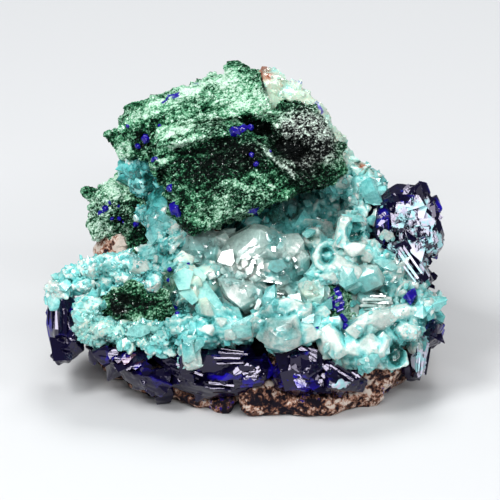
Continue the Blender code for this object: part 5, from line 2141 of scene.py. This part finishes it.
@dataclass
class AzuriteCrystals:
    """The dark blue crystals of the rim and the ridge."""

    ground: Ground
    smooth_angle: float = 24
    tone: Tone = Tone(0.02, hollow=0.30, tint=0.36, noise=0.2)
    grain: float = 0.18
    ridge_height: float = 0.14
    plate_shade: float = 0.4
    streak_stretch: float = 6.0
    crystal_sizes: Spot = (0.5, 2.1)
    left: AzuriteGroup = AzuriteGroup(
        "azurite_left", 0.05, 90.0,
        (
            *strips(
                ((-30.4, -7.2), (-30.3, -12.4)), ((-26.0, -8.6), (-26.2, -12.6)),
                ((-0.5, 0.1), (0.3, 0.1), (-0.26, 0.33), (0.4, 0.1), (-0.4, 0.2), (0.3, 0.0), (0.5, 0.2)),
                0.3,
            ),
            Facet(((-30.0, -13.0), (-26.4, -13.4), (-26.6, -16.4), (-29.4, -16.6)), (0.1, 0.45), 0.2),
        ),
    )
    front_left: AzuriteGroup = AzuriteGroup(
        "azurite_front_left", 0.12, 0.0,
        (
            Facet(((-20.4, -17.0), (-15.2, -14.8), (-15.0, -15.8), (-19.6, -18.2)), (-0.2, 0.6), 0.6),
            Facet(((-22.8, -14.6), (-18.4, -14.4), (-20.6, -16.4)), (-0.5, -0.1), 0.4),
            Facet(((-15.8, -18.4), (-11.4, -17.2), (-12.4, -21.4)), (0.2, 0.2), 0.3),
            *mosaic(Zone(-17.6, -16.8, 4.8, 1.4, 1.0, -16), 22, (0.3, 1.0), FRONT_LEANS, 910, 0.7),
        ),
    )
    front_centre: AzuriteGroup = AzuriteGroup(
        "azurite_front_centre", 0.08, 0.0,
        (
            *strips(
                ((-6.0, -14.3), (-0.4, -15.1)), ((-5.4, -17.2), (0.0, -16.9)),
                (Lamp.FRONT, Lamp.FRONT, (0.1, -0.4), Lamp.FRONT, (0.0, 0.6), Lamp.FRONT), 1.0,
            ),
            *mosaic(Zone(-0.2, -18.2, 2.1, 1.1), 34, (0.2, 0.7), (Lamp.FRONT, Lamp.KEY, (0, -0.4)), 908, 0.8),
            *strips(
                ((-7.6, -19.2), (-1.2, -20.2)), ((-7.4, -20.4), (-1.6, -21.2)),
                (Lamp.FRONT, (0.1, -0.3), (-0.1, 0.1)), 0.7,
            ),
            *strips(
                ((-12.6, -15.6), (-6.8, -18.2)), ((-12.2, -17.6), (-7.0, -19.6)),
                ((-0.1, 0.75), Lamp.FRONT, (0.1, 0.5), (0.0, -0.3)), 0.7,
            ),
            Facet(((-11.4, -18.6), (-6.6, -18.0), (-7.8, -21.0)), (0.4, -0.3), 0.3),
        ),
    )
    front_right: AzuriteGroup = AzuriteGroup(
        "azurite_front_right", 0.12, -40.0,
        (
            *strips(
                ((10.2, -16.2), (16.8, -20.6)), ((11.4, -14.9), (18.0, -19.2)),
                (Lamp.FRONT, (0.4, -0.4), Lamp.KEY, (0.6, -0.1)), 0.7,
            ),
            *mosaic(Zone(8.6, -17.4, 4.4, 2.6, 1.0, -20), 34, (0.40, 1.20), FRONT_LEANS, 909, 0.5),
            Facet(((3.4, -14.8), (6.6, -14.0), (7.6, -16.8), (4.4, -18.0)), (-0.3, 0.05), 0.6),
            Facet(((7.0, -14.2), (10.0, -14.8), (9.8, -17.6), (8.0, -16.9)), (0.02, 0.12), 0.7),
            Facet(((4.4, -18.2), (8.2, -17.2), (9.0, -20.2), (5.2, -21.0)), (0.1, -0.5), 0.4),
            Facet(((9.0, -17.8), (12.6, -18.6), (12.0, -21.4), (9.6, -21.0)), (0.5, -0.1), 0.4),
        ),
    )
    right_ridge: AzuriteGroup = AzuriteGroup(
        "azurite_right_ridge", 0.10, -52.0,
        (
            *strips(
                ((20.6, 0.2), (25.2, -5.8)), ((23.4, 1.6), (27.0, -4.2)),
                (Lamp.KEY, Lamp.KEY, (0.5, -0.2), Lamp.KEY, Lamp.KEY), 1.6,
            ),
            Facet(((20.8, 0.4), (23.4, 1.6), (26.8, -4.2), (25.0, -5.6)), (0.6, 0.2), 1.3, 3.0),
            *mosaic(Zone(25.0, 4.6, 3.0, 5.0, 1.0, 12), 46, (0.60, 1.50), RIDGE_LEANS, 905, 0.3),
            *mosaic(Zone(20.8, 2.6, 1.6, 4.0, 1.0, -10), 16, (0.50, 1.1), RIDGE_LEANS, 906, 0.2),
            *mosaic(Zone(26.2, -2.6, 1.4, 3.2, 1.0, 20), 12, (0.50, 1.0), RIDGE_LEANS, 907, 0.2),
            Facet(((24.8, 7.0), (27.2, 5.6), (26.9, 2.0), (25.2, 2.6)), (0.05, 0.75), 0.7),
            Facet(((23.2, 3.0), (26.4, 1.0), (25.6, -1.8), (24.0, -0.4)), (0.1, 0.7), 0.6),
            Facet(((22.0, 8.4), (24.6, 8.2), (24.4, 6.6), (22.6, 6.8)), (-0.7, 0.1), 0.5),
            Facet(((27.6, 6.4), (28.8, 3.4), (28.0, 1.6), (27.3, 4.6)), (0.8, 0.2), 0.4),
            Facet(((18.6, 3.0), (20.8, 4.6), (20.8, 1.0), (19.2, 0.2)), (-0.8, 0.0), 0.4),
            Facet(((21.0, 5.6), (23.0, 4.6), (22.4, 3.2), (21.2, 3.6)), Lamp.KEY, 0.5),
        ),
    )
    right_corner: AzuriteGroup = AzuriteGroup(
        "azurite_right_corner", 0.10, 90.0,
        (
            *strips(
                ((24.9, -12.2), (24.6, -18.8)), ((27.4, -13.0), (26.4, -18.8)),
                ((-0.7, 0.2), Lamp.KEY, (0.4, 0.3), Lamp.KEY, (0.6, 0.1)), 0.3,
            ),
            Facet(((24.9, -10.5), (27.9, -10.2), (29.1, -14.0), (27.0, -12.9)), (0.2, 0.8), 0.4),
        ),
    )
    reliefs: tuple[Relief, ...] = reliefs_of(
        (-1.3, -28.2, -13.7, 1.0, 0.8), (0.5, -28.0, -14.7, 1.0, 0.3, 1.0, -12),
    )
    # Pale patches on faces toward the viewer: partly a frosted coating, partly painted reflection where the
    # faces flash.
    frost: tuple[Zone, ...] = zones_of(
        (24.6, 3.2, 4.6, 6.6, 0.70, 12), (26.4, 4.8, 1.3, 3.0, 1.3), (23.4, 5.6, 1.6, 1.0, 1.0, -40),
        (22.6, 2.6, 0.9, 1.0, 1.0), (28.2, 1.4, 0.9, 2.0), (27.6, -0.4, 1.0, 0.7),
        (23.6, -2.2, 2.4, 3.6, 2.0, 38), (13.4, -19.9, 1.5, 0.8), (25.8, -16.0, 1.5, 3.4, 1.4),
    )
    # Painted glow: lighter blue, on faces toward the viewer, where thin crystals would let the light through.
    glow: tuple[Zone, ...] = zones_of(
        (23.6, 7.4, 1.2, 0.9), (20.0, 3.0, 1.4, 3.4, 0.6), (28.6, 6.0, 0.9, 2.6, 0.6),
        (7.0, -20.0, 3.4, 1.2, 0.9), (3.6, -18.0, 0.8, 2.2, 0.8), (-2.0, -19.2, 5.0, 0.5, 0.9, -8),
        (-30.2, -11.0, 0.8, 3.0, 0.8), (-26.0, -9.0, 0.8, 2.0, 0.5), (-18.0, -16.4, 4.8, 1.0, 0.7, -16),
        (29.0, -12.4, 0.6, 1.6, 0.7),
    )
    plum: tuple[Zone, ...] = zones_of((-17.6, -16.4, 2.8, 0.7, 1.0, 22, 0.15))

    def build(self, group: AzuriteGroup, finish: Finish, seed: int) -> bpy.types.Object:
        """Builds one node's azurite with its crystals and its broken, striated faces.

        Args:
            group: the node's azurite.
            finish: the material, whose striations run the group's way.
            seed: picks the crystals.

        Returns:
            The piece.
        """
        body = Body.of_nodes(group.node + "_crystals", [group.node])
        crystals = scattered(body, group.density, self.crystal_sizes, seed, stand=-0.45)
        body.with_hulls(crystals).fused(self.grain)
        body.carved(self.reliefs)
        along = drawn_out(VIEW.places(body.points), group.streak_turn, self.streak_stretch)
        body.raised(self.ridge_height * np.abs(soft_noise(along, 1.0, Seed.BLUE_RIDGES)))
        plates = hulls_of(group.faces, self.ground, seed)
        body.with_hulls(plates)
        points = body.points
        along = drawn_out(VIEW.places(points), group.streak_turn, self.streak_stretch)
        tint = tints_of(points, crystals + plates, seed)
        places = ragged(points, 0.6, Seed.BLUE_EDGES)
        hollow = body.hollowness(rounds=4, scale=0.15)
        hollow[len(points) - sum(len(plate) for plate in plates) :] = self.plate_shade
        # Painted shade: the azurite is darker in its hollows.
        tone = self.tone.base + self.tone.tint * tint - self.tone.hollow * hollow
        tone += self.tone.noise * soft_noise(points, 2.0, Seed.BLUE_TONE)
        facing = body.facing()
        body.marked("tone", tone + 0.6 * facing * zones_over(self.glow, places))
        # Partly painted reflection: the pale patches are kept to faces turned to the viewer.
        frost = 0.75 * facing * zones_over(self.frost, places)
        body.marked("frost", frost + 0.08 * soft_noise(along, 1.2, Seed.BLUE_FROST))
        body.marked("plum", zones_over(self.plum, places))
        return body.piece(finish, self.smooth_angle, [group.node])

    def build_all(self) -> None:
        """Builds every azurite node, with one finish for each way that striations run."""
        groups = (self.left, self.front_left, self.front_centre)
        groups += (self.front_right, self.right_ridge, self.right_corner)
        turns = {group.streak_turn for group in groups}
        finishes = {turn: AzuriteFinish(streak_turn=turn).made() for turn in turns}
        for i, group in enumerate(groups):
            self.build(group, finishes[group.streak_turn], Seed.BLUE_GROUPS + i)


@dataclass
class AzuriteBeads:
    """The small azurite crystals that sit on the malachite and in the clefts."""

    finish: Finish
    ground: Ground
    smooth_angle: float = 24
    tone: Tone = Tone(0.62, hollow=0.3)
    grain: float = 0.12
    beads: tuple[tuple[float, float, float], ...] = (
        (-15.6, 16.7, 0.70), (-16.8, 15.6, 0.45), (-13.5, 18.6, 0.35), (-18.3, 18.6, 0.35),
        (-2.2, 17.7, 0.80), (-1.1, 18.1, 0.70), (0.1, 18.3, 0.50), (0.2, 14.2, 0.42), (0.9, 12.8, 0.46),
        (3.0, 14.7, 0.26), (-12.8, 10.8, 0.36), (-12.6, 9.9, 0.42), (-11.9, 9.2, 0.62), (-11.9, 7.4, 0.40),
        (-11.2, 6.2, 0.95), (-10.7, 5.4, 0.55), (0.4, 6.3, 0.90), (1.4, 6.2, 0.75), (0.9, 5.7, 0.60),
        (3.3, 7.0, 0.50), (-5.6, 3.3, 0.90), (-14.2, 13.4, 0.62), (-14.0, 6.9, 0.42), (-17.1, 3.9, 0.55),
        (-19.8, 6.6, 0.30), (-22.4, 5.6, 0.55), (-21.8, 6.3, 0.50), (-21.0, 7.2, 0.42), (-20.8, 4.7, 0.34),
        (-19.7, 4.7, 0.36), (-19.0, 4.2, 0.30), (-12.0, -2.9, 0.42), (-12.1, -4.5, 0.40), (-9.2, -2.1, 0.30),
        (-11.4, -8.7, 0.62), (-10.8, -9.5, 0.45), (23.9, -6.9, 1.00), (14.2, -11.4, 0.55), (9.8, -11.6, 0.40),
    )
    stripes: tuple[Growth, ...] = (
        *strips(
            ((11.9, -5.4), (13.5, -4.7)), ((12.9, -9.4), (14.5, -8.8)),
            (Lamp.KEY, (0.5, 0.3), Lamp.KEY, (0.4, -0.4), Lamp.KEY, (0.6, 0.1), Lamp.KEY, (0.4, -0.3))
            + (Lamp.KEY,), 0.8,
        ),
        Blade((11.9, -7.0), (12.6, -9.0), 0.6, 0.8, 0.2, 0.0, 5, 0.7),
        Blade((13.4, -9.6), (14.4, -10.8), 0.5, 0.8, 0.4, 0.0, 5, 0.6),
        Facet(((23.2, -7.4), (23.9, -8.3), (24.9, -6.7), (24.6, -5.6), (23.8, -5.9)), Lamp.KEY, 0.9),
    )

    def build(self) -> bpy.types.Object:
        """Builds and dresses the small crystals.

        Returns:
            The piece.
        """
        body = Body("azurite_beads", bpy.data.meshes.new("azurite_beads"))
        lumps = lumps_of(
            *((across, up, 1.2 * size, 1.2 * size, 0.6 * size, 11, 0.10) for across, up, size in self.beads)
        )
        stripes = hulls_of(self.stripes, self.ground, Seed.STRIPES)
        body.with_hulls(hulls_of(lumps, self.ground, Seed.BEADS) + stripes)
        body.fused(self.grain).relaxed(rounds=1, share=0.4)
        # Painted shade: the beads are darker in their hollows.
        body.marked("tone", self.tone.base - self.tone.hollow * body.hollowness(rounds=3, scale=0.1))
        body.marked("frost", np.zeros(len(body.points)))
        body.marked("plum", np.zeros(len(body.points)))
        return body.piece(self.finish, self.smooth_angle, [])


@dataclass
class Studio:
    """A pale floor, soft lights and the camera."""

    floor_colour: Colour = (0.60, 0.61, 0.62)
    floor_size: float = 6.0
    room_colour: Colour = (0.80, 0.84, 0.90)
    room_strength: float = 0.20

    def build(self) -> None:
        """Puts up the studio."""
        self._floor()
        for lamp in Lamp:
            self._light(lamp)
        self._room()
        self._camera()

    def _floor(self) -> None:
        """Lays the floor."""
        half = self.floor_size / 2
        mesh = bpy.data.meshes.new("floor")
        corners = [(-half, -half, 0), (half, -half, 0), (half, half, 0), (-half, half, 0)]
        mesh.from_pydata(corners, [], [(0, 1, 2, 3)])
        floor = bpy.data.objects.new("floor", mesh)
        bpy.context.scene.collection.objects.link(floor)
        graph = ShaderGraph("floor")
        graph.set(Base_Color=self.floor_colour, Roughness=0.7)
        mesh.materials.append(graph.material)

    def _light(self, lamp: Lamp) -> None:
        """Hangs a softbox, facing the specimen.

        Args:
            lamp: the softbox.
        """
        place, wide, high, power = lamp.value
        light = bpy.data.lights.new(lamp.name.lower(), "AREA")
        light.shape = "RECTANGLE"
        light.size = wide * MM
        light.size_y = high * MM
        light.energy = power
        hung = bpy.data.objects.new(light.name, light)
        spot = VIEW.point(*place) * MM
        hung.location = spot
        hung.rotation_euler = (VIEW.point(0, 0, 0) * MM - spot).to_track_quat("-Z", "Y").to_euler()
        bpy.context.scene.collection.objects.link(hung)

    def _room(self) -> None:
        """Fills the room with weak even light."""
        world = bpy.data.worlds.new("room")
        world.use_nodes = True
        back = world.node_tree.nodes["Background"]
        back.inputs["Color"].default_value = (*self.room_colour, 1.0)
        back.inputs["Strength"].default_value = self.room_strength
        bpy.context.scene.world = world
        bpy.context.scene.view_settings.view_transform = "Standard"

    def _camera(self) -> None:
        """Stands the camera in the front view."""
        data = bpy.data.cameras.new("camera")
        data.lens = data.sensor_width * VIEW.distance / VIEW.picture_width
        data.clip_start = 0.01
        camera = bpy.data.objects.new("camera", data)
        camera.location = VIEW.point(0, 0, VIEW.distance) * MM
        camera.rotation_euler = (math.pi / 2 - VIEW.lean, 0, 0)
        bpy.context.scene.collection.objects.link(camera)
        bpy.context.scene.camera = camera


def main() -> None:
    """Builds every piece in order."""
    logging.basicConfig(level=logging.INFO, format="%(message)s")
    ground = Ground(frame["nodes"])
    RockMatrix(RockFinish().made(), ground).build()
    AurichalciteCrust(CrustFinish().made(), ground).build()
    clear = CerussiteCrystals(CerussiteFinish().made(), ground)
    clear.build("cerussite_middle", "cerussite_cluster", clear.middle, Seed.CLEAR_MIDDLE)
    clear.build("cerussite_side", "cerussite_right", clear.right, Seed.CLEAR_RIGHT)
    green = MalachiteGrowth(MalachiteFinish().made(), ground)
    for node in ("malachite_cap", "left_malachite", "patch_malachite", "centre_malachite"):
        green.build(node + "_grains", node)
    AzuriteCrystals(ground).build_all()
    AzuriteBeads(AzuriteFinish(streak_turn=-20.0).made(), ground).build()
    Studio().build()


if __name__ == "__main__":
    main()
